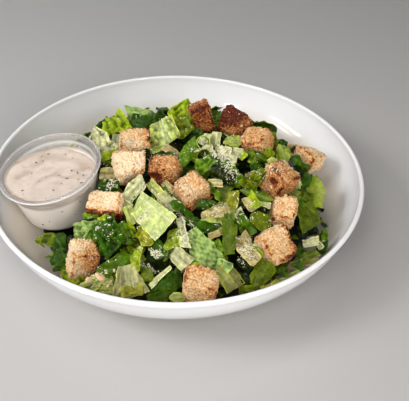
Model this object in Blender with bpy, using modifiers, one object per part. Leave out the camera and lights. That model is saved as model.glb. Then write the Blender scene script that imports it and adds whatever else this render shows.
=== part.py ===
"""Caesar salad: a heap of cut lettuce with croutons in a shallow bowl, and a clear cup of dressing.

Blender 4.5, metres, +Z up. The origin is the centre of the bowl's foot on the table. +X is to the
right of someone who faces +Y with the cup on their left. Nothing moves: the pieces rest in the bowl.
"""
import math

import bmesh
import bpy
from mathutils import Matrix, Vector, noise

MM = 0.001
GAP = 0.5 * MM                      # left between pieces that touch

# ---- bowl: a turned dish with a beaded lip, a round lower wall and a low foot ring
BOWL_RADIUS = 130 * MM
BOWL_HEIGHT = 45 * MM
LIP_WIDTH = 3.3 * MM                # bead at the rim
LIP_HEIGHT = 2.8 * MM               # bead's depth, down to the small step under it
LIP_STEP = 0.5 * MM                 # how far the wall stands back under the bead
WALL_LEAN = math.radians(80)        # slope of the wall just under the lip
OUTER_CURVE = 48 * MM               # radius of the wall's curve, outside
INNER_CURVE = 44 * MM               # and inside
FOOT_WIDTH = 5 * MM
FOOT_HEIGHT = 1.6 * MM
BOWL_STEPS = 60

# ---- cup of dressing: leans outwards against the bowl's wall, its near side on the floor
CUP_RADIUS = 35.7 * MM              # outside of the rolled rim
CUP_HEIGHT = 37 * MM
CUP_BASE_RADIUS = 26 * MM
CUP_CORNER = 4 * MM                 # rounding from wall to base
CUP_WALL = 0.8 * MM
CUP_RIM_WIDTH = 2.4 * MM
CUP_RIM_HEIGHT = 1.8 * MM
CUP_LEDGE_DEPTH = 5 * MM            # the ledge under the rim, where the stacking band ends
CUP_LEDGE = 0.9 * MM
CUP_RIM_CENTRE = Vector((-86.9, -9.2, 53.8)) * MM
CUP_UP = Vector((-0.175, -0.099, 0.980)).normalized()
CUP_STEPS = 44
DRESSING_LEVEL = 45.6 * MM          # level surface, above the table

# ---- heap of lettuce: uneven all over, from the bowl's floor to above its rim
HEAP_RADIUS = 106 * MM
HEAP_PEAK = 55 * MM                 # height of the middle
HEAP_EDGE = 7 * MM                  # thickness at its outer edge
HEAP_FLOOR_GAP = 1 * MM             # under it, over the bowl's flat facets
HEAP_POWER = 2.4                    # how flat the middle is
LEAF_SPACING = 30 * MM              # size of the lumps that leaves make
LEAF_RELIEF = 13 * MM
HEAP_ROUND = 54
HEAP_RINGS = 22

# ---- croutons: centre (x, y, z), size, and turns about x, y, z in degrees, all in mm
CROUTONS = [
    ((-30, 14, 57), (21, 17, 16), (20, 8, 12)),
    ((-33, -14, 56), (19, 19, 17), (28, 6, 16)),
    ((-8, -19, 58), (20, 15, 15), (14, -6, -14)),
    ((10, -38, 56), (20, 19, 19), (18, -14, 34)),
    ((19, 50, 54), (16, 12, 23), (-12, -14, 10)),
    ((43, 47, 52), (22, 16, 16), (8, 12, -38)),
    ((57, 20, 53), (20, 19, 17), (24, -16, -30)),
    ((97, 22, 36), (19, 18, 15), (6, 22, 40)),
    ((70, -19, 49), (21, 19, 20), (12, 10, 38)),
    ((70, -46, 43), (16, 18, 17), (24, 4, -12)),
    ((61, -74, 39), (21, 14, 22), (-44, 0, 42)),
    ((14, -102, 32), (21, 18, 20), (10, 4, -8)),
    ((-60, -80, 33), (20, 20, 25), (8, 10, 36)),
    ((-46, -46, 49), (24, 15, 14), (16, -4, -10)),
]
CROUTON_ROUNDING = 0.16             # how far corners draw in
CROUTON_RELIEF = 0.07               # unevenness, as a share of the size

COLOURS = {
    "bowl": ((0.86, 0.86, 0.85, 1), 0.12),
    "lettuce_heap": ((0.16, 0.30, 0.04, 1), 0.4),
    "dressing_cup": ((0.85, 0.88, 0.88, 0.4), 0.08),
    "dressing": ((0.76, 0.66, 0.56, 1), 0.25),
    "crouton": ((0.66, 0.42, 0.20, 1), 0.8),
}


def clear_scene():
    """Start from an empty file."""
    for thing in list(bpy.data.objects):
        bpy.data.objects.remove(thing, do_unlink=True)


def collection(name):
    """A new collection in the scene."""
    made = bpy.data.collections.new(name)
    bpy.context.scene.collection.children.link(made)
    return made


def material(name):
    """A Principled material for one kind of piece."""
    colour, roughness = COLOURS[name]
    made = bpy.data.materials.new(name)
    made.use_nodes = True
    shader = made.node_tree.nodes["Principled BSDF"]
    shader.inputs["Base Color"].default_value = colour
    shader.inputs["Roughness"].default_value = roughness
    shader.inputs["Metallic"].default_value = 0.0
    shader.inputs["Alpha"].default_value = colour[3]
    made.diffuse_color = colour
    return made


def add_object(name, mesh, into, look=None):
    """Put a mesh in a collection as a named object."""
    thing = bpy.data.objects.new(name, mesh)
    into.objects.link(thing)
    if look:
        mesh.materials.append(look)
    return thing


def turned(name, profile, steps, into, look=None):
    """Turn a profile of (radius, height) points about Z with a Screw modifier."""
    mesh = bpy.data.meshes.new(name)
    edges = [(i, i + 1) for i in range(len(profile) - 1)]
    mesh.from_pydata([(r, 0.0, z) for r, z in profile], edges, [])
    thing = add_object(name, mesh, into, look)
    screw = thing.modifiers.new("Turn", "SCREW")
    screw.axis = "Z"
    screw.angle = math.tau
    screw.steps = steps
    screw.render_steps = steps
    screw.use_merge_vertices = True
    screw.merge_threshold = 0.00001
    screw.use_smooth_shade = True
    return thing


def make_cutter(thing):
    """Show a cutter as wires and keep it out of the model."""
    thing.display_type = "WIRE"
    thing.hide_render = True


def arc(centre, radius, start, end, points):
    """Points on an arc, from angle start to angle end in degrees."""
    angles = [math.radians(start + (end - start) * i / (points - 1)) for i in range(points)]
    return [(centre[0] + radius * math.cos(a), centre[1] + radius * math.sin(a)) for a in angles]


def bowl_wall(top_radius, curve, points):
    """The curved wall, from under the lip down to where it runs level. The slope turns evenly."""
    top = BOWL_HEIGHT - LIP_HEIGHT
    slopes = [WALL_LEAN * (1 - i / (points - 1)) for i in range(points)]
    return [
        (
            top_radius - curve * (math.sin(WALL_LEAN) - math.sin(slope)),
            top - curve * (math.cos(slope) - math.cos(WALL_LEAN)),
        )
        for slope in slopes
    ]


def bowl_profile():
    """Inner floor, inner wall, lip bead, step, outer wall, foot ring and underside."""
    inner = bowl_wall(BOWL_RADIUS - LIP_WIDTH, INNER_CURVE, 7)
    outer = bowl_wall(BOWL_RADIUS - LIP_STEP, OUTER_CURVE, 7)
    bead_middle = (BOWL_RADIUS - LIP_WIDTH / 2, BOWL_HEIGHT - LIP_WIDTH / 2)
    bead = arc(bead_middle, LIP_WIDTH / 2, 180, 0, 5)
    bead_foot = [(BOWL_RADIUS, BOWL_HEIGHT - LIP_HEIGHT)]
    foot_outer, under = outer[-1]
    foot_inner = foot_outer - FOOT_WIDTH
    foot = [(foot_outer - FOOT_HEIGHT / 2, 0.0), (foot_inner, 0.0), (foot_inner - FOOT_HEIGHT / 2, under)]
    return [(0.0, inner[-1][1])] + inner[::-1] + bead + bead_foot + outer + foot + [(0.0, under)]


def bowl_floor(radius):
    """Height of the bowl's inside at a distance from its axis."""
    rise = math.sin(WALL_LEAN) - (BOWL_RADIUS - LIP_WIDTH - radius) / INNER_CURVE
    slope = math.asin(min(max(rise, 0.0), math.sin(WALL_LEAN)))
    top = BOWL_HEIGHT - LIP_HEIGHT
    return top - INNER_CURVE * (math.cos(slope) - math.cos(WALL_LEAN))


def heap_outline(angle):
    """The heap's radius at an angle: leaves reach out further here and there."""
    wave = noise.noise(Vector((2.2 * math.cos(angle), 2.2 * math.sin(angle), 3.1)))
    ripple = noise.noise(Vector((6.0 * math.cos(angle), 6.0 * math.sin(angle), 8.4)))
    return HEAP_RADIUS + (5.0 * wave + 7.0 * ripple) * MM


def heap_point(point):
    """Carry a point of the unit sphere to the heap: its top is domed and lumpy, its base fits the bowl."""
    across = math.hypot(point.x, point.y)
    angle = math.atan2(point.y, point.x)
    radius = across * heap_outline(angle)
    x, y = radius * math.cos(angle), radius * math.sin(angle)
    floor = bowl_floor(radius) + HEAP_FLOOR_GAP
    edge = floor + HEAP_EDGE
    if point.z < -0.02:
        return Vector((x, y, floor))
    if point.z < 0.02:
        return Vector((x, y, edge))
    dome = (HEAP_PEAK - edge) * (1 - across ** HEAP_POWER) ** 0.9
    nearest = noise.voronoi(Vector((x, y, 0.02)) / LEAF_SPACING)[0]
    lump = (nearest[1] - nearest[0]) - 0.35
    fade = 1 - across ** 8
    return Vector((x, y, edge + dome + LEAF_RELIEF * lump * fade))


def heap(into, look):
    """The heap of lettuce as one uneven solid."""
    mesh = bpy.data.meshes.new("lettuce_heap")
    shape = bmesh.new()
    bmesh.ops.create_uvsphere(shape, u_segments=HEAP_ROUND, v_segments=HEAP_RINGS, radius=1.0)
    for vertex in shape.verts:
        vertex.co = heap_point(vertex.co)
    bmesh.ops.triangulate(shape, faces=shape.faces[:])
    shape.to_mesh(mesh)
    shape.free()
    return add_object("lettuce_heap", mesh, into, look)


def crouton_mesh(name, number, size, margin=0.0):
    """A cube of bread with drawn-in corners and uneven faces; margin makes it larger all round."""
    mesh = bpy.data.meshes.new(name)
    shape = bmesh.new()
    bmesh.ops.create_cube(shape, size=2.0)
    bmesh.ops.subdivide_edges(shape, edges=shape.edges[:], cuts=2, use_grid_fill=True)
    for vertex in shape.verts:
        at = vertex.co.copy()
        draw_in = CROUTON_ROUNDING * max(at.length - 1.1, 0.0)
        bump = CROUTON_RELIEF * noise.noise(at * 1.3 + Vector((7.7 * number, 0, 0)))
        at *= 1 - draw_in + 2 * bump
        vertex.co = Vector(at[i] * (size[i] * MM / 2 + margin) for i in range(3))
    bmesh.ops.triangulate(shape, faces=shape.faces[:])
    shape.to_mesh(mesh)
    shape.free()
    return mesh


def place_crouton(thing, centre, turns):
    """Set a crouton in the heap."""
    thing.location = Vector(centre) * MM
    thing.rotation_euler = [math.radians(turn) for turn in turns]


def cup_outside():
    """The cup's outside, from the rim's top to the base, in its own frame: the rim's top is at 0."""
    rim_middle = (CUP_RADIUS - CUP_RIM_WIDTH / 2, -CUP_RIM_HEIGHT / 2)
    band = CUP_RADIUS - CUP_RIM_WIDTH
    ledge = band - CUP_LEDGE
    corner = (CUP_BASE_RADIUS - CUP_CORNER, -CUP_HEIGHT + CUP_CORNER)
    rim = arc(rim_middle, CUP_RIM_HEIGHT / 2, 90, -60, 5)
    rim = [(rim_middle[0] + (r - rim_middle[0]) * CUP_RIM_WIDTH / CUP_RIM_HEIGHT, z) for r, z in rim]
    wall = [
        (band, -CUP_RIM_HEIGHT),
        (band - CUP_LEDGE / 4, -CUP_LEDGE_DEPTH + CUP_LEDGE),
        (ledge, -CUP_LEDGE_DEPTH),
    ]
    return rim + wall + arc(corner, CUP_CORNER, -12, -90, 4)


def cup_inside(inset):
    """The cup's inside, from just under the rim to the base, set in from the outside."""
    band = CUP_RADIUS - CUP_RIM_WIDTH - inset
    ledge = band - CUP_LEDGE
    corner = (CUP_BASE_RADIUS - CUP_CORNER, -CUP_HEIGHT + CUP_CORNER)
    wall = [(band - CUP_LEDGE / 4, -CUP_LEDGE_DEPTH + CUP_LEDGE), (ledge, -CUP_LEDGE_DEPTH)]
    return wall + arc(corner, CUP_CORNER - inset, -12, -90, 4)


def stand_cup(thing):
    """Lean a piece of the cup and set it in the bowl."""
    lean = Vector((0, 0, 1)).rotation_difference(CUP_UP).to_matrix().to_4x4()
    thing.matrix_world = Matrix.Translation(CUP_RIM_CENTRE) @ lean


def cup(into, look):
    """The clear cup: rolled rim, stacking band, tapered wall and a flat base."""
    outside = cup_outside()
    inside = cup_inside(CUP_WALL)
    top = [(outside[0][0] - CUP_RIM_WIDTH / 2, -CUP_RIM_HEIGHT / 3)]
    base = [(0.0, -CUP_HEIGHT)]
    hollow = [(0.0, -CUP_HEIGHT + CUP_WALL)]
    profile = hollow + inside[::-1] + top + outside + base
    thing = turned("dressing_cup", profile, CUP_STEPS, into, look)
    stand_cup(thing)
    return thing


def dressing(into, look):
    """The dressing: fills the cup up to a level surface, though the cup leans."""
    inside = cup_inside(CUP_WALL + GAP)
    band = inside[0][0]
    bottom = [(0.0, -CUP_HEIGHT + CUP_WALL + GAP)]
    profile = [(0.0, 0.0), (band, 0.0)] + inside + bottom
    filled = turned("filled_cup", profile, CUP_STEPS, into)
    stand_cup(filled)
    bpy.context.view_layer.update()
    solid = bpy.data.meshes.new_from_object(filled.evaluated_get(bpy.context.evaluated_depsgraph_get()))
    solid.transform(filled.matrix_world)
    bpy.data.objects.remove(filled, do_unlink=True)
    shape = bmesh.new()
    shape.from_mesh(solid)
    cut = bmesh.ops.bisect_plane(
        shape,
        geom=shape.verts[:] + shape.edges[:] + shape.faces[:],
        plane_co=(0, 0, DRESSING_LEVEL),
        plane_no=(0, 0, 1),
        clear_outer=True,
    )
    rim = [piece for piece in cut["geom_cut"] if isinstance(piece, bmesh.types.BMEdge)]
    bmesh.ops.contextual_create(shape, geom=rim)
    bmesh.ops.recalc_face_normals(shape, faces=shape.faces[:])
    shape.to_mesh(solid)
    shape.free()
    solid.name = "dressing"
    return add_object("dressing", solid, into, look)


def cup_cutter(into):
    """What the cup takes out of the heap, up to well above its rim."""
    outside = [(r + GAP, z) for r, z in cup_outside()[1:]]
    top = 30 * MM
    base = [(0.0, -CUP_HEIGHT - GAP)]
    outside[-1] = (outside[-1][0], -CUP_HEIGHT - GAP)
    profile = [(0.0, top), (CUP_RADIUS + GAP, top), (CUP_RADIUS + GAP, -CUP_RIM_HEIGHT / 2)]
    thing = turned("cup_space", profile + outside[3:] + base, CUP_STEPS, into)
    stand_cup(thing)
    make_cutter(thing)
    return thing


def subtract(thing, cutter):
    """Cut one solid out of another."""
    cut = thing.modifiers.new(cutter.name, "BOOLEAN")
    cut.operation = "DIFFERENCE"
    cut.solver = "EXACT"
    cut.object = cutter


def main():
    """Build the salad."""
    clear_scene()
    parts = collection("caesar_salad")
    cutters = collection("cutters")
    turned("bowl", bowl_profile(), BOWL_STEPS, parts, material("bowl"))
    lettuce = heap(parts, material("lettuce_heap"))
    cup(parts, material("dressing_cup"))
    dressing(parts, material("dressing"))
    subtract(lettuce, cup_cutter(cutters))
    bread = material("crouton")
    for number, (centre, size, turns) in enumerate(CROUTONS, start=1):
        name = f"crouton_{number:02d}"
        crouton = add_object(name, crouton_mesh(name, number, size), parts, bread)
        place_crouton(crouton, centre, turns)
        pocket = add_object(f"pocket_{number:02d}", crouton_mesh("pocket", number, size, GAP), cutters)
        place_crouton(pocket, centre, turns)
        make_cutter(pocket)
        subtract(lettuce, pocket)


main()
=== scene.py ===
# %% [markdown]
# # A caesar salad in its bowl
# Cut romaine, toasted croutons and grated cheese are heaped in a shallow white bowl, with a clear
# cup of dressing leaning at the left. The solid model is loaded first as a fixed frame. Each solid
# keeps its place, and the pieces made here stand for it with the real thing's surface.

# %% Load the fixed frame
import math
import random

import bpy
import numpy as np
from mathutils import Matrix, Vector, noise
from mathutils.bvhtree import BVHTree


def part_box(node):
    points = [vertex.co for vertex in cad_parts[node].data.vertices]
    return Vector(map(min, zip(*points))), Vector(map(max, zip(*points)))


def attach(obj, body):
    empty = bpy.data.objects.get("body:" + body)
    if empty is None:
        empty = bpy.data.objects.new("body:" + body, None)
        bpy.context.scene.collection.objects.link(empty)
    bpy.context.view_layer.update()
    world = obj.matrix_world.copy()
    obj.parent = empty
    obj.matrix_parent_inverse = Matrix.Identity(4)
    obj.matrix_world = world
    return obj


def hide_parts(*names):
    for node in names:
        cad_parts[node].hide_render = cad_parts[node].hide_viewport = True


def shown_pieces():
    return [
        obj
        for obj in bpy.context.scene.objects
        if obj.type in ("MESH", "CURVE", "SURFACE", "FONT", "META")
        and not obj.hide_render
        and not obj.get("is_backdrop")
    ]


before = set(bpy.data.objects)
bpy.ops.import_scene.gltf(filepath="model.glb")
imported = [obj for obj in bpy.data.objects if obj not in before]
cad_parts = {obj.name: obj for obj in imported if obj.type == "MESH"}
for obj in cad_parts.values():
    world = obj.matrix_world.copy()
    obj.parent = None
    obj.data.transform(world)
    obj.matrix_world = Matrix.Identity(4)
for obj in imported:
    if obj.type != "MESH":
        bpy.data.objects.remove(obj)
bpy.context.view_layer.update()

MM = 0.001
print("solids loaded:", len(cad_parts))

# %% [markdown]
# ## Camera
# A camera is a place and a direction. This one looks down on the bowl from in front at about 37
# degrees, as someone sitting at the table does, and it is turned a little over one degree about its
# own line of sight. It comes first, so that every later piece can be judged through it.

# %% Place the camera
EYE = Vector((0, -0.4219, 0.3597))
AIM = Vector((0.0180, -0.0363, 0.045))
ROLL = math.radians(1.354)

lens = bpy.data.cameras.new("camera")
lens.lens = 66
camera = bpy.data.objects.new("camera", lens)
bpy.context.scene.collection.objects.link(camera)
gaze = (AIM - EYE).to_track_quat("-Z", "Y").to_matrix().to_4x4()
camera.matrix_world = Matrix.Translation(EYE) @ gaze @ Matrix.Rotation(ROLL, 4, "Z")
bpy.context.scene.camera = camera
print("camera is", round((AIM - EYE).length, 3), "m from the food")

# %% [markdown]
# ## Helpers for operators
# An operator acts on whatever is selected, as a hand would. So each step first lets go of
# everything, takes hold of one piece, and works on that piece alone.

# %% Take hold of a piece
def let_go():
    """Leave nothing selected."""
    for thing in bpy.context.selected_objects:
        thing.select_set(False)


def take(piece):
    """Select one piece alone."""
    let_go()
    piece.select_set(True)
    bpy.context.view_layer.objects.active = piece


def open_mesh(piece):
    """Go into edit mode on one piece, with all of it selected."""
    take(piece)
    bpy.ops.object.mode_set(mode="EDIT")
    bpy.ops.mesh.select_all(action="SELECT")


def close_mesh():
    """Come back to object mode."""
    bpy.ops.object.mode_set(mode="OBJECT")


# %% Modifiers and joining
def modify(piece, kind, **settings):
    """Add a modifier with its settings."""
    made = piece.modifiers.new(kind.title(), kind)
    for name, value in settings.items():
        setattr(made, name, value)
    return made


def apply_modifiers(piece):
    """Turn the modifiers of a piece into mesh."""
    take(piece)
    for made in list(piece.modifiers):
        bpy.ops.object.modifier_apply(modifier=made.name)


def joined(name, pieces):
    """Join pieces into one and name it."""
    take(pieces[0])
    for piece in pieces[1:]:
        piece.select_set(True)
    if len(pieces) > 1:
        bpy.ops.object.join()
    pieces[0].name = name
    return pieces[0]


# %% [markdown]
# Points are moved in bulk as arrays. That is quicker than one vertex at a time, and a formula for a
# curved leaf or a lumpy crouton reads as one line.

# %% Read and write a mesh's points as an array
def points_of(piece):
    """The mesh's points, one row each."""
    flat = np.empty(len(piece.data.vertices) * 3)
    piece.data.vertices.foreach_get("co", flat)
    return flat.reshape(-1, 3)


def set_points(piece, points):
    """Move the mesh's points."""
    piece.data.vertices.foreach_set("co", np.asarray(points, float).ravel())
    piece.data.update()


def rough(points, size, offset=0.0):
    """Smooth random values from -1 to 1 that change over a distance of size."""
    moved = np.asarray(points, float) / size + offset
    return np.array([noise.noise(Vector(row)) for row in moved])


def smooth_step(values, low, high):
    """0 below low, 1 above high, and an even turn between."""
    share = np.clip((np.asarray(values, float) - low) / (high - low), 0, 1)
    return share * share * (3 - 2 * share)


# %% [markdown]
# A finished piece gets its material, rides on the one body, and hides the solids it stands for.

# %% Hand a finished piece over
def hand_over(piece, look, slot, *nodes, sharp=40):
    """Finish a piece: its material, shading, body and the solids that it replaces. The slot is not used."""
    take(piece)
    bpy.ops.object.transform_apply(location=True, rotation=True, scale=True)
    bpy.ops.object.shade_smooth_by_angle(angle=math.radians(sharp))
    piece.data.materials.clear()
    piece.data.materials.append(look)
    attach(piece, "root")
    if nodes:
        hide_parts(*nodes)
    print(piece.name, "faces:", len(piece.data.polygons))
    return piece


# %% [markdown]
# ## Studio
# A plain pale floor, and soft daylight. Two large lamps, at the left and at the left front, stand for
# the light of two windows, a third overhead and a warm one at the right keep the shadows open, and a
# dim sky fills the rest. What shines back from glaze and wet leaves is the windows' own panes, so
# those are small separate lamps that give shine and hardly any light, and the windows give none.

# %% Floor
FLOOR_SIZE = 6.0


def node(tree, kind, **settings):
    """Add a shader node with its settings."""
    made = tree.nodes.new(kind)
    for name, value in settings.items():
        setattr(made, name, value)
    return made


def new_look(name, roughness, **sockets):
    """A material and its Principled shader, with plain values set on the shader's own sockets."""
    look = bpy.data.materials.new(name)
    look.use_nodes = True
    shader = look.node_tree.nodes["Principled BSDF"]
    shader.inputs["Roughness"].default_value = roughness
    for socket, value in sockets.items():
        shader.inputs[socket.replace("_", " ")].default_value = value
    return look, look.node_tree, shader


def shade(red, green, blue):
    """A colour given as it looks on a screen, 0 to 255, made linear for the shader."""
    parts = [part / 255 for part in (red, green, blue)]
    return tuple(p / 12.92 if p < 0.04 else ((p + 0.055) / 1.055) ** 2.4 for p in parts) + (1.0,)


let_go()
bpy.ops.mesh.primitive_plane_add(size=FLOOR_SIZE, location=(0, 0, 0))
floor = bpy.context.object
floor.name = "studio_floor"
floor_look, tree, shader = new_look("pale_floor", 0.55)
mottle = node(tree, "ShaderNodeTexNoise")
mottle.inputs["Scale"].default_value = 3.0
tint = node(tree, "ShaderNodeMix", data_type="RGBA")
tint.inputs["A"].default_value = shade(180, 180, 180)
tint.inputs["B"].default_value = shade(186, 185, 184)
tree.links.new(mottle.outputs["Fac"], tint.inputs["Factor"])
tree.links.new(tint.outputs["Result"], shader.inputs["Base Color"])
floor.data.materials.append(floor_look)
floor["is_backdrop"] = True

# %% Lamps and panes
SKY = 0.08
FOOD_MIDDLE = Vector((0, 0, 0.04))
DAYLIGHT = (1.0, 0.98, 0.96)
LAMPS = [  # name, direction and height in degrees, distance, width and height, power, colour
    ("window_left", 194, 38, 1.2, (0.45, 0.4), 8.2, DAYLIGHT),
    ("window_front", 252, 40, 1.2, (0.45, 0.35), 4.2, DAYLIGHT),
    ("ceiling", 170, 72, 1.3, (1.0, 0.8), 4.2, DAYLIGHT),
    ("room", -66, 30, 1.27, (0.5, 0.4), 6.8, (1.0, 0.96, 0.90)),
    ("room_low", -78, 9, 1.27, (0.7, 0.3), 3.6, DAYLIGHT),
]
PANES = [  # directions of a row of panes in degrees, height, distance, width and height, power
    ((177, 184, 191, 198), 24, 1.25, (0.11, 0.008), 1.2),
    ((180, 187), 33, 1.25, (0.10, 0.008), 0.6),
    ((213, 219, 225), 20, 1.2, (0.08, 0.08), 0.8),
    ((226, 231), 30, 1.25, (0.09, 0.16), 1.8),
    ((70, 160, 250), 68, 1.25, (0.12, 0.12), 2.2),
    ((232, 300), 56, 1.25, (0.10, 0.16), 1.6),
]


def hang(name, direction, height, distance, size, power, colour):
    """An area lamp that looks at the food from a direction."""
    lamp = bpy.data.lights.new(name, "AREA")
    lamp.shape = "RECTANGLE"
    lamp.size, lamp.size_y = size
    lamp.energy = power
    lamp.color = colour
    thing = bpy.data.objects.new(name, lamp)
    bpy.context.scene.collection.objects.link(thing)
    way, up = math.radians(direction), math.radians(height)
    out = Vector((math.cos(way) * math.cos(up), math.sin(way) * math.cos(up), math.sin(up)))
    turn = (-out).to_track_quat("-Z", "Y").to_matrix().to_4x4()
    thing.matrix_world = Matrix.Translation(FOOD_MIDDLE + out * distance) @ turn
    return thing


for row in LAMPS:
    hang(*row).visible_glossy = False
PANES.append(((106,), 38, 1.25, (0.32, 0.20), 1.1))
for directions, height, distance, size, power in PANES:
    for direction in directions:
        pane = hang(f"pane_{height}_{direction:.0f}", direction, height, distance, size, power, DAYLIGHT)
        pane.visible_diffuse = False

world = bpy.data.worlds.new("sky")
world.use_nodes = True
world.node_tree.nodes["Background"].inputs["Color"].default_value = (1.0, 0.96, 0.91, 1)
world.node_tree.nodes["Background"].inputs["Strength"].default_value = SKY
world.cycles_visibility.glossy = False
bpy.context.scene.world = world
bpy.context.scene.view_settings.view_transform = "Standard"
print("lamps:", len(bpy.data.lights))

# %% [markdown]
# ## Shared effects
# Two effects are node groups that are built once. Fine grain is a small random relief, used in
# many materials. Leaf cells draws the fine net of a leaf and the strings along its rib from the
# leaf's own map, in which one unit is one metre and the midrib runs along zero.

# %% A group's shell
def new_group(name, ins, outs):
    """A shader node group with named sockets, and its input and output nodes."""
    group = bpy.data.node_groups.new(name, "ShaderNodeTree")
    for socket, kind, value in ins:
        made = group.interface.new_socket(socket, in_out="INPUT", socket_type=kind)
        if value is not None:
            made.default_value = value
    for socket, kind in outs:
        group.interface.new_socket(socket, in_out="OUTPUT", socket_type=kind)
    return group, node(group, "NodeGroupInput"), node(group, "NodeGroupOutput")


def maths(tree, operation, first, second=None, third=None):
    """A Math node. Each input is a value or another node's output."""
    made = node(tree, "ShaderNodeMath", operation=operation)
    for socket, given in zip(made.inputs, (first, second, third)):
        if given is None:
            continue
        if isinstance(given, (int, float)):
            socket.default_value = given
        else:
            tree.links.new(given, socket)
    return made.outputs[0]


def blend(tree, share, first, second, way="MIX"):
    """A colour Mix node. Each input is a value or another node's output."""
    made = node(tree, "ShaderNodeMix", data_type="RGBA", blend_type=way)
    for socket, given in (("Factor", share), ("A", first), ("B", second)):
        target = [s for s in made.inputs if s.name == socket and s.enabled][0]
        if isinstance(given, bpy.types.NodeSocket):
            tree.links.new(given, target)
        else:
            target.default_value = given
    return [s for s in made.outputs if s.enabled][0]


def attribute(tree, name):
    """The colour of a mesh attribute."""
    return node(tree, "ShaderNodeAttribute", attribute_name=name).outputs["Color"]


FLOAT, VECTOR, COLOUR = "NodeSocketFloat", "NodeSocketVector", "NodeSocketColor"

# %% Fine grain
grain_group, given, out = new_group(
    "fine_grain", [("Vector", VECTOR, None), ("Scale", FLOAT, 400.0)], [("Grain", FLOAT)]
)
fine = node(grain_group, "ShaderNodeTexNoise")
fine.inputs["Detail"].default_value = 4.0
fine.inputs["Roughness"].default_value = 0.6
grain_group.links.new(given.outputs["Vector"], fine.inputs["Vector"])
grain_group.links.new(given.outputs["Scale"], fine.inputs["Scale"])
grain_group.links.new(fine.outputs["Fac"], out.inputs["Grain"])


def place_group(tree, group, vector, **values):
    """Put a node group in a material."""
    made = node(tree, "ShaderNodeGroup", node_tree=group)
    tree.links.new(vector, made.inputs["Vector"])
    for name, value in values.items():
        made.inputs[name].default_value = value
    return made


def object_places(tree):
    """Places in the object's own frame."""
    return node(tree, "ShaderNodeTexCoord").outputs["Object"]


def bump(tree, shader, height, depth, strength=1.0):
    """Small relief on a shader; depth is in metres."""
    made = node(tree, "ShaderNodeBump")
    made.inputs["Distance"].default_value = depth
    made.inputs["Strength"].default_value = strength
    tree.links.new(height, made.inputs["Height"])
    tree.links.new(made.outputs["Normal"], shader.inputs["Normal"])


# %% Leaf cells and strings
NET_SPACING = 2.2 * MM              # the fine net between them
FIBRE_SPACING = 2.0 * MM            # the strings that run along a rib

cells_group, given, out = new_group(
    "leaf_cells", [("Vector", VECTOR, None)], [("Net", FLOAT), ("Fibres", FLOAT)]
)
net = node(cells_group, "ShaderNodeTexVoronoi", feature="DISTANCE_TO_EDGE")
net.inputs["Scale"].default_value = 1 / NET_SPACING
cells_group.links.new(given.outputs["Vector"], net.inputs["Vector"])
cells_group.links.new(net.outputs["Distance"], out.inputs["Net"])
stretch = node(cells_group, "ShaderNodeMapping", vector_type="POINT")
stretch.inputs["Scale"].default_value = (1.0, 0.07, 1.0)
cells_group.links.new(given.outputs["Vector"], stretch.inputs["Vector"])
fibre = node(cells_group, "ShaderNodeTexNoise")
fibre.inputs["Scale"].default_value = 1 / FIBRE_SPACING
fibre.inputs["Detail"].default_value = 3.0
cells_group.links.new(stretch.outputs["Vector"], fibre.inputs["Vector"])
cells_group.links.new(fibre.outputs["Fac"], out.inputs["Fibres"])
print("effects:", [group.name for group in bpy.data.node_groups])

# %% [markdown]
# ## Bowl
# The bowl is glazed stoneware turned on a wheel. It is made the same way: a chain of points from
# the underside's middle, out over the foot, up the outer wall, over the lip and down to the middle
# of the floor, spun about the axis. The wall's slope turns evenly from 80 degrees under the lip to
# level at the foot, so two numbers give its whole curve.

# %% A spun shape
def arc(centre, radius, start, end, count):
    """Points on an arc from one angle to another, in degrees."""
    turns = np.radians(np.linspace(start, end, count))
    return [(centre[0] + radius * math.cos(t), centre[1] + radius * math.sin(t)) for t in turns]


def spun(name, profile, steps):
    """Draw a chain of (radius, height) points by extruding one vertex, and spin it about Z."""
    let_go()
    bpy.ops.mesh.primitive_plane_add(size=MM)
    piece = bpy.context.object
    piece.name = name
    open_mesh(piece)
    bpy.ops.mesh.merge(type="CENTER")
    bpy.ops.transform.translate(value=(profile[0][0], 0, profile[0][1]))
    for (r0, z0), (r1, z1) in zip(profile, profile[1:]):
        bpy.ops.mesh.extrude_vertices_move(TRANSFORM_OT_translate={"value": (r1 - r0, 0, z1 - z0)})
    bpy.ops.mesh.select_all(action="SELECT")
    bpy.ops.mesh.spin(steps=steps, angle=math.tau, center=(0, 0, 0), axis=(0, 0, 1))
    bpy.ops.mesh.select_all(action="SELECT")
    bpy.ops.mesh.remove_doubles(threshold=0.01 * MM)
    bpy.ops.mesh.normals_make_consistent(inside=False)
    close_mesh()
    return piece


# %% The bowl's sizes
low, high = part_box("bowl")
BOWL_RADIUS = (high.x - low.x) / 2
BOWL_HEIGHT = high.z
LIP_WIDTH = 3.3 * MM
LIP_HEIGHT = 2.8 * MM
LIP_STEP = 1.5 * MM
WALL_LEAN = math.radians(80)
OUTER_CURVE = 48 * MM
INNER_CURVE = 44 * MM
FOOT_WIDTH = 5 * MM
FOOT_HEIGHT = 1.6 * MM
GROOVE = 1.4 * MM                   # a shallow groove between the lip and the wall
GROOVE_DROP = 2.1 * MM
LIP_EDGE = 1.2 * MM                 # how far the lip's face reaches below its rounding
WALL_TOP = BOWL_HEIGHT - LIP_HEIGHT


def wall_curve(top_radius, curve, count):
    """The wall from under the lip down to where it runs level."""
    slopes = np.linspace(WALL_LEAN, 0, count)
    return [
        (
            top_radius - curve * (math.sin(WALL_LEAN) - math.sin(slope)),
            WALL_TOP - curve * (math.cos(slope) - math.cos(WALL_LEAN)),
        )
        for slope in slopes
    ]


def bowl_floor(radius):
    """Height of the bowl's inside at a distance from its axis."""
    rise = math.sin(WALL_LEAN) - (BOWL_RADIUS - LIP_WIDTH - np.asarray(radius)) / INNER_CURVE
    slope = np.arcsin(np.clip(rise, 0, math.sin(WALL_LEAN)))
    return WALL_TOP - INNER_CURVE * (np.cos(slope) - math.cos(WALL_LEAN))


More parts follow.
